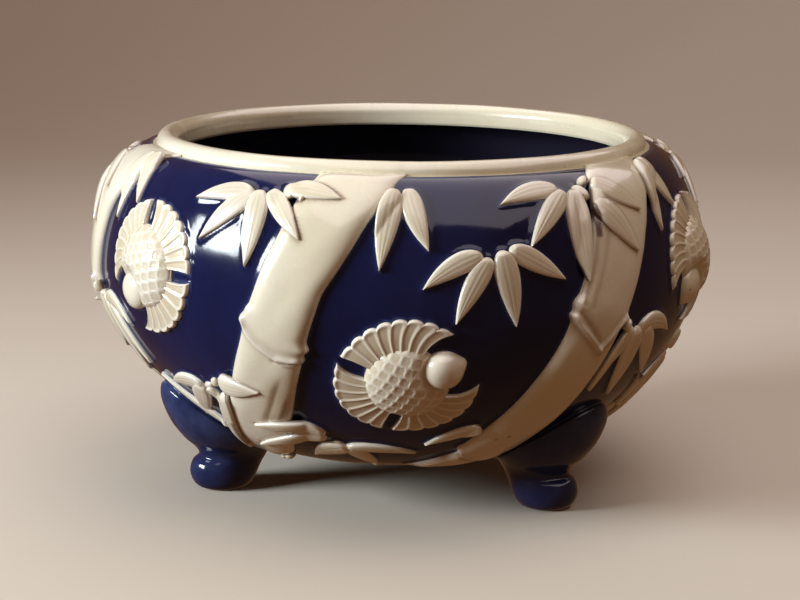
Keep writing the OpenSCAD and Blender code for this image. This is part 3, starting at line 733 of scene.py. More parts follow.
def leaf(wall, relief, row, turn, clay):
    """One leaf: a round lobe, two fine creases beside a rib, and a long sharp tip. Returns its outline."""
    t = np.concatenate([[0.001, 0.006, 0.015, 0.03, 0.05], np.linspace(0.08, 0.93, LEAF_ROWS),
                        [0.95, 0.968, 0.982, 0.992, 0.998]])[:, None]
    c = across_grid(LEAF_STEPS)
    base, tip = np.array(row[:2], float), np.array(row[2:4], float)
    half = row[4] / 2 * np.where(t < LOBE, np.sqrt(np.maximum(0, 1 - (1 - t / LOBE) ** 2)),
                                 1 - (np.maximum(0, t - LOBE) / (1 - LOBE)) ** TAPER)
    east = math.radians(tip[0] - base[0]) * wall.r(wall.down((base[1] + tip[1]) / 2))
    south = wall.down(tip[1] - base[1])
    size = math.hypot(east, south)
    side = south / size, east / size
    off = c * half + 4 * row[5] * t * (1 - t) * (-1 if east < 0 else 1)
    place = wall.beside(mix(base[0], tip[0], t), wall.down(mix(base[1], tip[1], t)), off * side[0], off * side[1])
    lies = bed(wall, relief, *place)
    spine = smooth(0.04, 0.16, t) * (1 - smooth(0.74, 0.97, t))
    body = mix(relief.leaf_edge, relief.leaf_h, (1 - c ** 2) ** 0.7 * mix(0.5, 1, smooth(0, 0.1, t)))
    body = body * mix(1.12, 0.82, t)
    rim = (1 - np.abs(c) ** 14) ** 0.5 * np.minimum(1, t / 0.05) ** 0.4 * np.minimum(1, (1.002 - t) / 0.03) ** 0.35
    skew = 0.1 * math.sin(7.3 * base[0] + tip[1])
    fold = bump(c, -0.23 + skew, 0.085) + 0.9 * bump(c, 0.21 + skew, 0.085)
    faint = bump(c, -0.64 + skew / 2, 0.1) + bump(c, 0.62 + skew / 2, 0.1)
    h = rim * (body - 0.2 * fold * spine - 0.04 * faint * spine)
    h = h * mix(1, THIN_ON_CANE, lies / relief.cane_h) + row[6] * (1 - smooth(0.2, 0.75, t)) * rim
    foot = SEAT_GAP + BED_SLACK * lies
    top = wall.point(place[0] + turn, place[1], foot + h)
    low = wall.point(place[0] + turn, place[1], lies * BED_DEEP + SKIRT)
    hollow = spine * (0.34 * fold + 0.08 * faint + 0.12 * (1 - smooth(0.3, 0.85, np.abs(c))))
    edge = smooth(0.72, 0.92, np.abs(c)) * 0.8
    # Umber where the leaf sinks to what carries it: partly staining in the crevice, partly painted shade; brown cracks
    # add to it
    crease = (1 - smooth(0.0, 0.5, h)) * 0.45 + cracks(wall, place)
    clay.sheet(top, low, (hollow, crease, edge))
    outline = wall.point(place[0] + turn, place[1], foot)
    return np.array([outline[p] for p in border_of(*outline.shape[:2])])


def from_line(s, y, points, half):
    """Distance in mm from places on a cane to a line of points (mm down the cane, half widths across it)."""
    best = np.full(np.broadcast_shapes(np.shape(s), np.shape(y)), 99.0)
    for (s0, x0), (s1, x1) in zip(points[:-1], points[1:]):
        a, b = np.array([s0, x0 * half]), np.array([s1, x1 * half])
        way = b - a
        u = np.clip(((s - a[0]) * way[0] + (y - a[1]) * way[1]) / (way @ way), 0, 1)
        best = np.minimum(best, np.hypot(s - a[0] - u * way[0], y - a[1] - u * way[1]))
    return best


def cane_rows(wall, kind):
    """A cane's rows, closer together at its joints: their points on its line, their run down the wall,
    the mm along the cane and those left to its end, and the direction across it."""
    line, fine = CANES[kind][0], CANES[kind][-1]
    t = np.linspace(0, len(line) - 1, 1200)
    p = along(line, t)
    steps = np.hypot(np.radians(np.diff(p[:, 0])) * wall.r(wall.down(p[1:, 1])), np.diff(wall.down(p[:, 1])))
    s = np.concatenate([[0], np.cumsum(steps)])
    close = sum(smooth(a - 6, a, s) * (1 - smooth(b, b + 6, s)) for a, b in fine)
    need = np.concatenate([[0], np.cumsum(np.diff(s) * (0.78 + 1.5 * close[1:]))])
    start = np.interp(RUN_LENGTH, wall.down(p[:, 1]), need)
    rows = np.interp(np.linspace(start, need[-1], int((need[-1] - start) * ROWS_PER_MM)), need, t)
    p = along(line, rows)
    d = wall.down(p[:, 1])
    q0, q1 = along(line, np.maximum(0, rows - 0.2)), along(line, np.minimum(len(line) - 1, rows + 0.2))
    way = unit(np.stack([np.radians(q1[:, 0] - q0[:, 0]) * wall.r(d), wall.down(q1[:, 1] - q0[:, 1])], 1))
    side = unit(mix(np.array([1.0, 0.0]), way[:, ::-1], np.clip(rows / LEVEL_TO, 0, 1)[:, None]))
    down = np.interp(rows, t, s)[:, None]
    return p, d[:, None], down, s[-1] - down, side


def cane_surface(relief, kind, p, d, s, left, x):
    """A cane's width as a share of its line's, its height over the wall, and its marks for stains and painted shade in
    hollows and creases, and for edges.
    """
    _, ridges, grooves, knobs, _ = CANES[kind]
    width = np.ones_like(s * x)
    for hand_of, at, size, much in knobs:
        width = width + much * bump(s, at, size) * (x * hand_of > 0)
    if kind == "tall":
        width = width * mix(0.6, 1, smooth(0, 1, left / 15) ** 0.5)
        width = width * (1 - 0.3 * (1 - smooth(0, 26, left)) * (x > 0))
    else:
        width = width * mix(0.12, 1, np.clip(left / 24, 0, 1) ** 0.75)
        width = width * (1 - 0.42 * smooth(215, 217.5, s) * (x < 0))
    y = x * width * CANE_HALF
    sharp = (1 - np.abs(x) ** 9) ** 0.5
    h = np.maximum(cane_round(relief, d, p[:, 1:2], x), 1.3 * sharp)
    hollow = crease = edge = 0.0
    for points, high, wide in ridges:
        near = bump(from_line(s, y, points, CANE_HALF), 0, wide)
        h = h + high * relief.ridge_h / RIDGE_OF * near * sharp
        edge = edge + 0.9 * near
    for points, deep, wide, groove_stain_and_shade in grooves:
        away = from_line(s, y, points, CANE_HALF)
        first = points[0][0]
        ends = smooth(first - 2, first + 16, s) if FADE_FROM < first < FADE_TO else 1
        h = h - 0.75 * ends * deep * bump(away, 0, 1.25 * wide) * sharp
        hollow = hollow + 0.8 * ends * groove_stain_and_shade * bump(away, 0, 1.8 * wide)
        crease = crease + 0.45 * ends * groove_stain_and_shade * bump(away, 0, 0.8 * wide) * (wide < 3)
    for hand_of, at, size, much in knobs:
        near = bump(s, at, size) * bump(x, hand_of * 0.88, 0.16)
        h = h + 8 * much * near
        edge = edge + 0.6 * near
    if kind == "tall":
        h = h * mix(0.25, 1, smooth(0, 1, left / 9) ** 0.5)
        # The tall cane turns tan over its last 22 mm: painted shade low on the wall
        hollow = hollow + 0.4 * (1 - smooth(0, 22, left))
    else:
        h = h * mix(0.2, 1, smooth(0, 14, left))
        # The bent cane's lower length is tan down its middle: painted shade on the lower right of the pot
        hollow = hollow + 0.3 * smooth(120, 225, s) * (1 - x ** 2)
    # The upper length swells towards its joint
    h = h + 0.4 * bump(s, 97, 8) * sharp
    h = h + 0.28 * hand(p[:, :1] + 9 * x, d + 14 * x, 22) * sharp * smooth(16, 40, s)
    return width, h, hollow, crease, edge


def lip_run(wall, lip, first, turn, x, top, low):
    """A concave run of clay from the lip down to a cane's first row: its top and its underside."""
    v = np.linspace(0, 1, RUN_ROWS)[:-1, None]
    turns = turn + first[0] + np.degrees(x[0] * first[2] * 0.97 / wall.r(0))
    lip_r, lip_z = lip.middle
    rise = math.radians(3)
    on_lip = lambda deep: round_axis(lip_r + (lip.lip_w / 2 - deep) * math.cos(rise),
                                     lip_z + (lip.lip_h / 2 - deep) * math.sin(rise), turns)
    beside_lip = round_axis(lip_r + lip.lip_w / 2 + 3.6, lip_z + 1.3, turns)
    corner = round_axis(wall.r(0) + 0.5, wall.z(0) + 0.3, turns)
    full = ((1 - np.abs(x[0]) ** 6) ** 0.5)[:, None]
    lead = top[0] + 5 * unit(top[0] - top[3])
    over = bezier([on_lip(0.1), mix(corner, beside_lip, full), mix(corner, lead, full), top[0]], v)
    v = v[..., None]
    within = round_axis(wall.r(0) - 1.5, wall.z(0) - 0.8, turns)
    return over, (1 - v) ** 2 * on_lip(2) + 2 * (1 - v) * v * within + v * v * low[0]


def cane(pot, kind, turn, leaves, clay):
    """A cane with its joints, folds and root, blended into the lip, with staining and painted shadow where the leaves
    lie on it.
    Returns its outline."""
    wall = pot.wall
    p, d, s, left, side = cane_rows(wall, kind)
    x = across_grid(CANE_STEPS)
    width, h, hollow, crease, edge = cane_surface(pot.relief, kind, p, d, s, left, x)
    off = x * width * p[:, 2:3]
    place = wall.beside(p[:, :1], d, off * side[:, :1], off * side[:, 1:])
    top = wall.point(place[0] + turn, place[1], SEAT_GAP + h)
    low = wall.point(place[0] + turn, place[1], SKIRT)
    if leaves is not None:
        # Umber and tan where the leaves lie on the cane: partly glaze pooled in the crevice, partly painted shadow of
        # the leaves
        near = distance(leaves, top)
        crease = crease + 0.75 * (1 - smooth(0.2, 1.7, near))
        hollow = hollow + 0.5 * (1 - smooth(0.8, 4.5, near))
    edge = edge + 0.4 * smooth(0.84, 0.97, np.abs(x))
    inside = 1 - smooth(0.9, 1.0, np.abs(x))
    marks = (np.clip(hollow, 0, 1) * inside, np.clip(crease, 0, 1) * inside + cracks(wall, place), np.clip(edge, 0, 1))
    over, under = lip_run(wall, pot.lip, CANES[kind][0][0], turn, x, top, low)
    plain = np.zeros(over.shape[:2])
    clay.sheet(np.concatenate([over, top]), np.concatenate([under, low]),
               [np.concatenate([plain, mark]) for mark in marks])
    outline = wall.point(place[0] + turn, place[1], 0.0)
    return np.array([outline[q] for q in border_of(*outline.shape[:2]) if q[0] > 0])


def bird_place(wall, bird, turn, across, up, h):
    """A point over the wall, across and up from a sparrow's middle."""
    t, d = wall.beside(bird[0] + turn, wall.down(bird[1]), across, up)
    return wall.point(t, d, h)


def from_head(wall, bird, turn, p, q, h):
    """A point over the wall, p towards the sparrow's head and q square to that."""
    a = math.radians(bird[2])
    return bird_place(wall, bird, turn, p * math.cos(a) - q * math.sin(a), p * math.sin(a) + q * math.cos(a), h)


def cupped_feathers(p, q, size):
    """How far out each place lies in its small feather, from 0 in the cup to 1 on the rim."""
    # Distance between the rows of feathers, and the feathers' length and width
    pitch, long, wide = 4.4, 6.2, 6.6
    back = size.breast_r + 4 - p
    first = np.floor((back - long) / pitch) + 1
    out, found = np.ones(np.shape(p)), np.zeros(np.shape(p), bool)
    for k in range(3):
        row = first + k
        y = (q + 0.5 * wide * np.mod(row, 2)) / wide
        y = 2 * (y - np.floor(y) - 0.5) / 1.08
        u = (back - row * pitch) / long
        far = np.hypot(np.maximum(u, 0), y) if k < 2 else np.minimum(1, np.hypot(np.maximum(u, 0), y))
        here = ~found & (u >= 0) & (far < 1)
        out, found = np.where(here, far, out), found | here
    return out


def sparrow_breast(wall, size, bird, turn, clay):
    """A round breast covered in small cupped feathers, dipped where the head sits on it. Returns its outline."""
    a, share = round_grid(BREAST_STEPS, BREAST_RINGS)
    p, q = size.breast_r * share * np.cos(a), BREAST_WIDE * size.breast_r * share * np.sin(a)
    dome = size.breast_h * np.sqrt(1 - np.minimum(share, 0.988) ** 2.2)
    to_head = np.hypot(p - bird[6], q - bird[7])
    dome = dome * mix(0.55, 1, smooth(size.head_r * 0.8, size.head_r + 5, to_head))
    out = cupped_feathers(p, q, size)
    held = (1 - smooth(0.9, 0.99, share)) * smooth(size.head_r - 0.4, size.head_r + 1.5, to_head)
    cup = 1 - smooth(0.5, 0.95, out)
    h = dome - size.cup_depth * cup * held * mix(1, 0.6, share)
    rings = from_head(wall, bird, turn, p, q, SEAT_GAP + h)
    low = from_head(wall, bird, turn, p[-1], q[-1], SKIRT)
    middle = from_head(wall, bird, turn, 0.0, 0.0, SEAT_GAP + h[0].mean())
    # Umber round the head's foot and tan at the breast's rim: partly staining in the crevices, partly painted shade
    neck = 1 - smooth(size.head_r - 0.3, size.head_r + 1.0, to_head)
    hollow = 0.4 * (1 - smooth(0.5, 0.92, out)) * held + 0.2 * smooth(0.94, 0.99, share)
    clay.dome(middle, rings, low, (hollow, 0.3 * neck, 0.55 * smooth(0.7, 0.98, out) * held))
    return from_head(wall, bird, turn, p[-1], q[-1], 0.0)


def sparrow_head(wall, size, bird, turn, clay):
    """A smooth egg-shaped head with a short blunt beak. Returns its outline."""
    a, share = round_grid(HEAD_STEPS, HEAD_RINGS)
    beak = 0.15 * np.maximum(0, np.cos(a)) ** 26 + 0.05 * np.maximum(0, np.cos(a)) ** 4
    radius = 0.97 * size.head_r * share * (1 + beak * smooth(0.6, 1, share))
    p, q = bird[6] + radius * np.cos(a), bird[7] + radius * np.sin(a)
    high = size.head_h * bird[5]
    h = high * np.sqrt(1 - np.minimum(share, 0.99) ** 2.4) * (1 - 0.9 * beak * share ** 3)
    rings = from_head(wall, bird, turn, p, q, SEAT_GAP + h)
    low = from_head(wall, bird, turn, p[-1], q[-1], SKIRT)
    # Tan on the head's sloping rim and umber at its foot: partly staining, partly painted shade
    clay.dome(from_head(wall, bird, turn, bird[6], bird[7], SEAT_GAP + high), rings, low,
              (0.2 * smooth(0.85, 1.0, share), 0.15 * smooth(0.97, 1.0, share), 0.0))
    return from_head(wall, bird, turn, p[-1], q[-1], 0.0)


def sparrow_fan(wall, size, bird, turn, fan, clay):
    """A wing or tail: cupped feathers between soft ribs, each with a round end. Returns its outline."""
    count = fan[4]
    s = np.linspace(0, 1, count * FEATHER_STEPS + 1)[:, None]
    share = np.concatenate([np.linspace(0, 0.84, 18), [0.875, 0.91, 0.94, 0.965, 0.985, 1.0]])[None, :]
    spread = np.clip((share - 0.14) / 0.86, 0, 1) ** 1.8
    a = np.radians(bird[2] + bird[3] * mix(mix(fan[0], fan[2], spread), mix(fan[1], fan[3], spread), s))
    out = np.abs(2 * np.mod(count * s, 1) - 1)
    scallop = 0.06 * size.spread_r * share ** 2 * (1 - np.sqrt(1 - 0.96 * out ** 2))
    scallop = scallop * smooth(0, 0.5 / count, s) * smooth(0, 0.5 / count, 1 - s)
    r = mix(size.breast_r - 4.5, size.spread_r * bird[4], share) - scallop
    place = r * np.cos(a), r * np.sin(a)
    held = smooth(0.0, 0.3, share) * (1 - smooth(0.84, 0.95, share))
    rim = np.minimum(1, (1.003 - share) / 0.05) ** 0.45
    ends = np.minimum(1, np.minimum(s, 1 - s) / 0.012 + 0.05) ** 0.45
    h = (mix(size.feather_h, size.feather_tip, share) + 0.2 - 0.6 * (1 - smooth(0.5, 0.98, out)) * held) * rim * ends
    h = np.maximum(h, 0.15)
    top = bird_place(wall, bird, turn, *place, SEAT_GAP + h)
    low = bird_place(wall, bird, turn, *place, SKIRT)
    hollow = mix(0.9, 0.55, share) * (1 - smooth(0.55, 0.95, out)) * (1 - smooth(0.84, 0.95, share))
    edge = 0.7 * np.maximum(smooth(0.78, 0.97, out), smooth(0.88, 0.96, share))
    clay.sheet(top, low, (hollow, 0.0, edge), flip=bird[3] < 0)
    outline = bird_place(wall, bird, turn, *place, 0.0)
    return np.array([outline[q] for q in border_of(*outline.shape[:2]) if q[1] > 0])


def bud(wall, relief, row, turn, clay):
    """A small bud or twig end on the wall or on a cane. Returns its outline."""
    a, share = round_grid(BUD_STEPS, BUD_RINGS)
    w = math.radians(row[4])
    p, q = row[2] * share * np.cos(a), row[3] * share * np.sin(a) * (1 - 0.18 * share * np.cos(a))
    spot = lambda p, q: wall.beside(row[0], wall.down(row[1]), p * math.cos(w) - q * math.sin(w),
                                    p * math.sin(w) + q * math.cos(w))
    place = spot(p, q)
    lies = bed(wall, relief, *place)
    h = row[5] * np.sqrt(1 - np.minimum(share, 0.99) ** 2.3)
    middle = spot(0.0, 0.0)
    high = float(bed(wall, relief, np.array(middle[0]), np.array(middle[1])))
    rings = wall.point(place[0] + turn, place[1], SEAT_GAP + lies + h)
    low = wall.point(place[0][-1] + turn, place[1][-1], lies[-1] * BED_DEEP + SKIRT)
    # Tan on the bud's sides and umber at its rim: partly staining, partly painted shade; brown cracks add to it
    clay.dome(wall.point(middle[0] + turn, middle[1], SEAT_GAP + high + row[5]), rings, low,
              (0.5 * smooth(0.5, 0.95, share), 0.4 * smooth(0.88, 1, share) + cracks(wall, place), 0.3))
    return wall.point(place[0][-1] + turn, place[1][-1], lies[-1])


def spray(pot, name, turn, clay):
    """A spray of leaves with its twig ends. Returns their outlines."""
    found = [leaf(pot.wall, pot.relief, row, turn, clay) for row in LEAVES[name]]
    found += [bud(pot.wall, pot.relief, row, turn, clay) for row in BUDS.get(name, ())]
    return np.concatenate(found)


def sparrow_part(pot, bird, turn, part, clay):
    """One part of a sparrow. Returns its outline."""
    if part in FANS:
        return np.concatenate([sparrow_fan(pot.wall, pot.sparrows, bird, turn, fan, clay) for fan in FANS[part]])
    return (sparrow_breast if part == "breast" else sparrow_head)(pot.wall, pot.sparrows, bird, turn, clay)


def leaf_outlines(pot):
    """Points round the foot of every leaf."""
    return np.concatenate([spray(pot, name, i * SECTOR, Clay()) for i in range(SECTORS) for name in LEAVES])


def all_outlines(pot):
    """Points round the foot of every piece that lies on the wall."""
    scrap, found = Clay(), [leaf_outlines(pot)]
    for i in range(SECTORS):
        found += [cane(pot, kind, i * SECTOR, None, scrap) for kind in CANES]
        found += [sparrow_part(pot, bird, i * SECTOR, part, scrap) for bird in SPARROWS for part in SPARROW_PARTS]
    return np.concatenate(found)


def lute(pot, node, slot, shape, *sizes):
    """Makes the ivory piece of a CAD node, from the surfaces that shape adds."""
    clay = Clay()
    shape(pot, *sizes, clay)
    clay.build(f"glazed_{node}", [node], slot, ivory_glaze(pot.glazes))


def parts_of(context):
    """The wall and every group of sizes, in mm."""
    scene = context.scene
    bowl, lip = in_mm(scene.cachepot_bowl), in_mm(scene.cachepot_lip)
    wall = Wall(bowl)
    lip.middle = (bowl.neck_r - lip.lip_clear - lip.lip_w / 2, wall.neck_z + lip.lip_rise)
    return SimpleNamespace(wall=wall, bowl=bowl, lip=lip, feet=in_mm(scene.cachepot_feet),
                           relief=in_mm(scene.cachepot_relief), sparrows=in_mm(scene.cachepot_sparrows),
                           glazes=in_mm(scene.cachepot_glazes))


def foot_rings(wall, feet):
    """The rings of a foot from its sole up into the wall: how far out, aside and up each point lies."""
    a = np.radians(full_turn(FOOT_STEPS))[0]
    rise = wall.base_z / FOOT_RISE_OF

    def ring_point(g):
        t = (1 + np.cos(a)) / 2
        return np.stack([mix(g[0], g[2], t), np.sin(a) * g[4] * feet.toe_w / 2, rise * mix(g[1], g[3], t)], 1)

    def patch(share, lift=0.0):
        out = np.where(np.cos(a) > 0, PATCH_OUT, PATCH_IN) * np.cos(a) * share
        aside = np.sin(a) * share * feet.knee_w / 2
        r = np.hypot(feet.foot_out + out, aside)
        flank = wall.line[::-1]
        flank = flank[flank[:, 1] < wall.belly_z]
        z = np.where(r <= flank[0, 0], wall.base_z, np.interp(r, flank[:, 0], flank[:, 1]))
        return np.stack([out, aside, z + lift], 1)

    def blended(u):
        p0, before, p3 = ring_point(FOOT_RINGS[-1]), ring_point(FOOT_RINGS[-2]), patch(1.0, -0.3)
        span = np.linalg.norm(p3 - p0, axis=1)[:, None]
        swell = feet.knee_swell * np.stack([np.maximum(0, np.cos(a)), np.sin(a) * 0.5,
                                            -0.5 * np.maximum(0.15, np.cos(a))], 1)
        lead, lean = p0 + unit(p0 - before) * span / 3, p3 + swell * np.minimum(1, span / 20)
        return bezier([p0, lead, lean, p3], u)

    # The foot's own rings, three that lead from them to the wall, and three that sink into it
    stations = [ring_point(g) for g in FOOT_RINGS] + [blended(u) for u in (0.3, 0.6, 0.85)]
    stations += [patch(1.0, -0.25), patch(1.045, 0.35), patch(1.02, 3.0)]
    flat = np.array(stations).reshape(len(stations), -1)
    return along(flat, np.linspace(0, len(stations) - 1, FOOT_ROWS)).reshape(FOOT_ROWS, a.size, 3)


class MakeBowl(bpy.types.Operator):
    """Throw the bowl and pool the blue glaze round the relief"""

    bl_idname = "cachepot.make_bowl"
    bl_label = "Bowl"

    def execute(self, context):
        pot = parts_of(context)
        wall, bowl, lip = pot.wall, pot.bowl, pot.lip
        turns, run = full_turn(BOWL_STEPS), np.linspace(0, wall.length, BOWL_ROWS)[:, None]
        uneven = 0.2 * hand(turns, run, 60) * smooth(0, 20, run) * (1 - smooth(wall.length - 12, wall.length, run))
        near = distance(tree_of(all_outlines(pot)), wall.point(turns, run, uneven))
        # The glaze pools into a small fillet round each piece
        skin = wall.point(turns, run, uneven + bowl.pooled * (1 - smooth(0, FILLET, near)))
        mouth = lip.middle[0] - lip.lip_w / 2
        inner_top, floor_z = wall.neck_z - bowl.wall + 1.5, wall.base_z + bowl.floor_t
        inner = np.concatenate([wall.shoulder(mouth, inner_top, bowl.belly_r - bowl.wall, INNER_ROWS),
                                wall.flank(bowl.belly_r - bowl.wall, bowl.base_r - bowl.wall, floor_z, INNER_ROWS)[1:]])
        under_z, ledge_z = wall.base_z + 0.5, wall.neck_z - LEDGE
        # From the underside's middle up through the inside to the ledge
        rest = np.concatenate([[[60, under_z - 0.1], [1.2, under_z], [0.4, under_z],
                                [0.4, floor_z], [1.2, floor_z], [50, floor_z]],
                               inner[::-1], [[mouth, ledge_z], [bowl.neck_r - 2, ledge_z]]])
        clay = Clay()
        clay.wrapped(np.concatenate([skin, round_axis(rest[:, :1], rest[:, 1:], turns)]))
        outer, size = len(run), (len(run) + len(rest), turns.size)
        thin, ivory, inside = np.zeros(size), np.zeros(size), np.zeros(size)
        ivory[:outer] = 1 - smooth(0.0, 2 * lip.glaze_run, run)
        thin[:outer] = np.maximum(0.6 * (1 - smooth(0.1, MILKY_EDGE, near)), 0.8 * bump(run, lip.glaze_run + 1.2, 1.0))
        ring = rest[:, 1] > inner_top - 0.2
        inside[outer + 3:] = ~ring[3:, None]
        ivory[outer + 2:] = ring[2:, None]
        clay.build("glazed_bowl", ["bowl"], "bowl_glaze", cobalt_glaze(pot.glazes),
                   thin=thin, ivory=ivory, inside=inside)
        return {"FINISHED"}


class MakeLip(bpy.types.Operator):
    """Roll the ivory lip"""

    bl_idname = "cachepot.make_lip"
    bl_label = "Lip"

    def execute(self, context):
        pot = parts_of(context)
        lip, (lip_r, lip_z) = pot.lip, pot.lip.middle
        seat = pot.wall.neck_z - LIP_SEAT
        cut = math.degrees(math.asin(max(-1, (seat - lip_z) / (lip.lip_h / 2))))
        a = np.radians(np.linspace(cut, 180 - cut, LIP_ROWS))
        # Inside the mouth the roll runs straight down into the bowl
        mouth = lip_r - lip.lip_w / 2
        straight = mouth - 0.15 * smooth(math.pi, math.pi + 0.5, a)
        out = np.where(a > math.pi, straight, lip_r + lip.lip_w / 2 * np.cos(a))
        profile = np.concatenate([np.stack([out, lip_z + lip.lip_h / 2 * np.sin(a)], 1),
                                  [[mouth - 0.15, seat - 1.5], [mouth + 0.05, seat - 2.6], [mouth + 1, seat - 2.8]]])
        turns = full_turn(LIP_STEPS)
        k = np.arange(len(profile))[:, None]
        # The roll wavers a little between its rows next to the wall and those inside the mouth
        lively = smooth(3, 12, k) * (1 - smooth(36, 44, k))
        wave = 0.2 * hand(turns, 3.0 * k, 55) * lively
        clay = Clay()
        # The inner side of the roll is tinted tan: painted shade
        clay.wrapped(round_axis(profile[:, :1] + wave, profile[:, 1:] + 0.8 * wave, turns),
                     (0.4 * smooth(27, 41, k), 0.0, 0.0))
        clay.build("glazed_lip", ["lip_ring"], "lip_glaze", ivory_glaze(pot.glazes))
        return {"FINISHED"}


class MakeFeet(bpy.types.Operator):
    """Model the three feet: knee, ankle and rounded toe"""

    bl_idname = "cachepot.make_feet"
    bl_label = "Feet"

    def execute(self, context):
        pot = parts_of(context)
        wall, feet = pot.wall, pot.feet
        rings = foot_rings(wall, feet)
        for i in range(SECTORS):
            t = math.radians(math.degrees(feet.foot_turn) + i * SECTOR)
            out, aside, up = feet.foot_out + rings[..., 0], rings[..., 1], rings[..., 2]
            aside = aside * (1 + 0.004 * hand(40 * aside, 3 * up, 20))
            points = np.stack([out * math.sin(t) + aside * math.cos(t),
                               -out * math.cos(t) + aside * math.sin(t), up], -1).reshape(-1, 3)
            faces = quads(FOOT_ROWS, FOOT_STEPS, FOOT_ROWS - 1, FOOT_STEPS)
            faces += [tuple(range(FOOT_STEPS))[::-1], tuple(range(len(points) - FOOT_STEPS, len(points)))]
            clay = Clay()
            clay.add(points, faces, (FOOT_ROWS, FOOT_STEPS))
            # The blue is lighter on the worn sole and where the foot meets the wall, as thin glaze, and all over the
            # foot and most on its upper part as painted sheen
            worn, level = 1 - smooth(0.5, 2.6, up), np.arange(FOOT_ROWS)[:, None]
            thin = 0.24 + 0.2 * worn + 0.2 * bump(level, 96, 4) + 0.2 * smooth(40, 75, level)
            clay.build(f"glazed_foot_{i + 1}", [f"foot_{i + 1}"], "foot_glaze", cobalt_glaze(pot.glazes),
                       thin=thin, ivory=np.zeros_like(thin), inside=np.zeros_like(thin))
        return {"FINISHED"}


class MakeCanes(bpy.types.Operator):
    """Lute the bamboo canes onto the wall"""

    bl_idname = "cachepot.make_canes"
    bl_label = "Canes"

    def execute(self, context):
        pot = parts_of(context)
        leaves = tree_of(leaf_outlines(pot))
        for i in range(SECTORS):
            for kind in CANES:
                lute(pot, f"{kind}_cane_{i + 1}", "cane_glaze", cane, kind, i * SECTOR, leaves)
        return {"FINISHED"}


class MakeLeaves(bpy.types.Operator):
    """Lute the sprays of leaves onto the wall and the canes"""

    bl_idname = "cachepot.make_leaves"
    bl_label = "Leaves"

    def execute(self, context):
        pot = parts_of(context)
        for i in range(SECTORS):
            for name in LEAVES:
                lute(pot, f"leaves_{i + 1}_{name}", "leaf_glaze", spray, name, i * SECTOR)
        return {"FINISHED"}


class MakeSparrows(bpy.types.Operator):
    """Lute the sparrows onto the wall"""

    bl_idname = "cachepot.make_sparrows"
    bl_label = "Sparrows"

    def execute(self, context):
        pot = parts_of(context)
        for n in range(1, 2 * SECTORS + 1):
            bird, turn = SPARROWS[(n - 1) % 2], (n - 1) // 2 * SECTOR
            for part in SPARROW_PARTS:
                lute(pot, f"sparrow_{n}_{part}", "sparrow_glaze", sparrow_part, bird, turn, part)
        return {"FINISHED"}


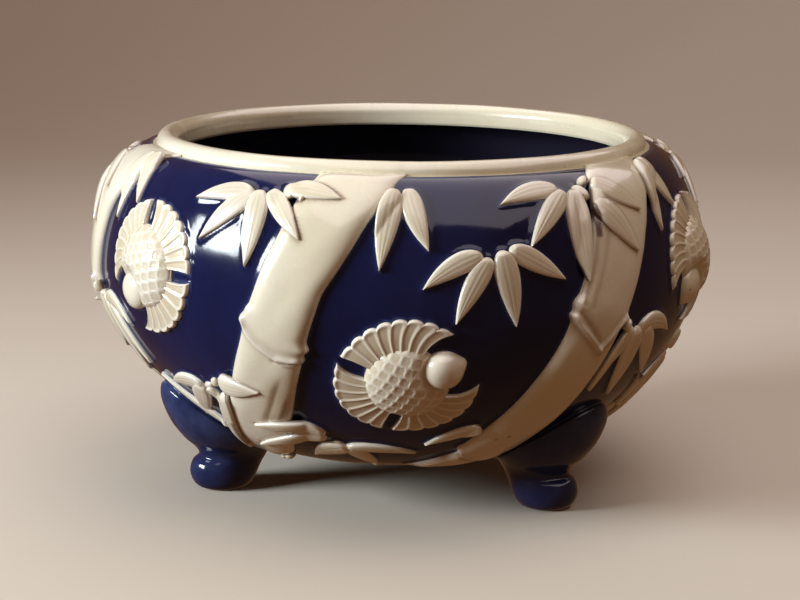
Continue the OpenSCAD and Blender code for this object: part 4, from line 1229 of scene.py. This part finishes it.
class MakeStage(bpy.types.Operator):
    """Set the floor, the lights and the camera"""

    bl_idname = "cachepot.make_stage"
    bl_label = "Stage"

    def execute(self, context):
        scene, studio = context.scene, in_mm(context.scene.cachepot_studio)
        n = Nodes("pale floor")
        darker = tuple(c * 0.9 for c in studio.floor)
        n.put(n.shader.inputs["Base Color"], n.blend(n.times(n.noise(3, 4), 0.25), studio.floor, darker))
        n.shader.inputs["Roughness"].default_value = 0.7
        mesh = bpy.data.meshes.new("floor")
        bend = np.linspace(0.1, np.pi / 2, 10)
        depth = np.concatenate([[FLOOR_NEAR, FLOOR_TURN], FLOOR_TURN + TURN_R * np.sin(bend)])
        height = np.concatenate([[0, 0], TURN_R * (1 - np.cos(bend))])
        depth, height = np.append(depth, depth[-1]), np.append(height, BACK_HIGH)
        points = [(x, y, z) for y, z in zip(depth, height) for x in (-FLOOR_HALF, FLOOR_HALF)]
        faces = [(i, i + 1, i + 3, i + 2) for i in range(0, 2 * len(depth) - 2, 2)]
        mesh.from_pydata(points, [], faces)
        mesh.polygons.foreach_set("use_smooth", [True] * len(faces))
        mesh.materials.append(n.material)
        floor = bpy.data.objects.new("floor", mesh)
        # The dark glaze mirrors a dim room, not the floor
        floor.visible_glossy = floor.visible_diffuse = False
        scene.collection.objects.link(floor)

        for name, (size, at, to, tint, shines, spread) in LAMPS.items():
            light = bpy.data.lights.new(name, "AREA")
            light.energy, light.color, light.spread = getattr(studio, name), tint, math.radians(spread)
            light.shape, light.size, light.size_y = "RECTANGLE", *size
            body = bpy.data.objects.new(name, light)
            body.matrix_world = (Matrix.Translation(at)
                                 @ (Vector(to) - Vector(at)).to_track_quat("-Z", "Y").to_matrix().to_4x4())
            body.visible_diffuse, body.visible_glossy = shines
            scene.collection.objects.link(body)

        world = scene.world or bpy.data.worlds.new("room")
        scene.world = world
        world.use_nodes = True
        world.node_tree.nodes.clear()
        back = world.node_tree.nodes.new("ShaderNodeBackground")
        back.inputs["Color"].default_value = ROOM_TINT
        back.inputs["Strength"].default_value = studio.room
        end = world.node_tree.nodes.new("ShaderNodeOutputWorld")
        world.node_tree.links.new(back.outputs[0], end.inputs[0])

        lens = bpy.data.cameras.new("camera")
        lens.sensor_width, lens.lens, lens.clip_start = 36.0, FOCAL_LENGTH, 0.05
        camera = bpy.data.objects.new("camera", lens)
        camera.matrix_world = (Matrix.Translation(CAMERA_AT)
                               @ Matrix.Rotation(math.radians(CAMERA_TILT), 4, "X")
                               @ Matrix.Rotation(math.radians(CAMERA_ROLL), 4, "Z"))
        scene.collection.objects.link(camera)
        scene.camera = camera
        scene.view_settings.view_transform = "Standard"
        return {"FINISHED"}


STEPS = (MakeBowl, MakeLip, MakeFeet, MakeCanes, MakeLeaves, MakeSparrows, MakeStage)
GROUPS = (("cachepot_bowl", CachepotBowl), ("cachepot_lip", CachepotLip), ("cachepot_feet", CachepotFeet),
          ("cachepot_relief", CachepotRelief), ("cachepot_sparrows", CachepotSparrows),
          ("cachepot_glazes", CachepotGlazes), ("cachepot_studio", CachepotStudio))


class CachepotPanel(bpy.types.Panel):
    """Sizes, glazes and steps of the cachepot"""

    bl_idname = "VIEW3D_PT_cachepot"
    bl_label = "Cachepot"
    bl_space_type = "VIEW_3D"
    bl_region_type = "UI"
    bl_category = "Cachepot"

    def draw(self, context):
        for name, group in GROUPS:
            box = self.layout.box()
            box.label(text=group.__name__.replace("Cachepot", ""))
            for key in group.__annotations__:
                box.prop(getattr(context.scene, name), key)
        for step in STEPS:
            self.layout.operator(step.bl_idname)


def register():
    for name, group in GROUPS:
        bpy.utils.register_class(group)
        setattr(bpy.types.Scene, name, bpy.props.PointerProperty(type=group))
    for part in (*STEPS, CachepotPanel):
        bpy.utils.register_class(part)


def unregister():
    for part in (CachepotPanel, *STEPS[::-1]):
        bpy.utils.unregister_class(part)
    for name, group in GROUPS[::-1]:
        delattr(bpy.types.Scene, name)
        bpy.utils.unregister_class(group)


def main():
    register()
    for step in STEPS:
        group, name = step.bl_idname.split(".")
        getattr(getattr(bpy.ops, group), name)()


if __name__ == "__main__":
    main()
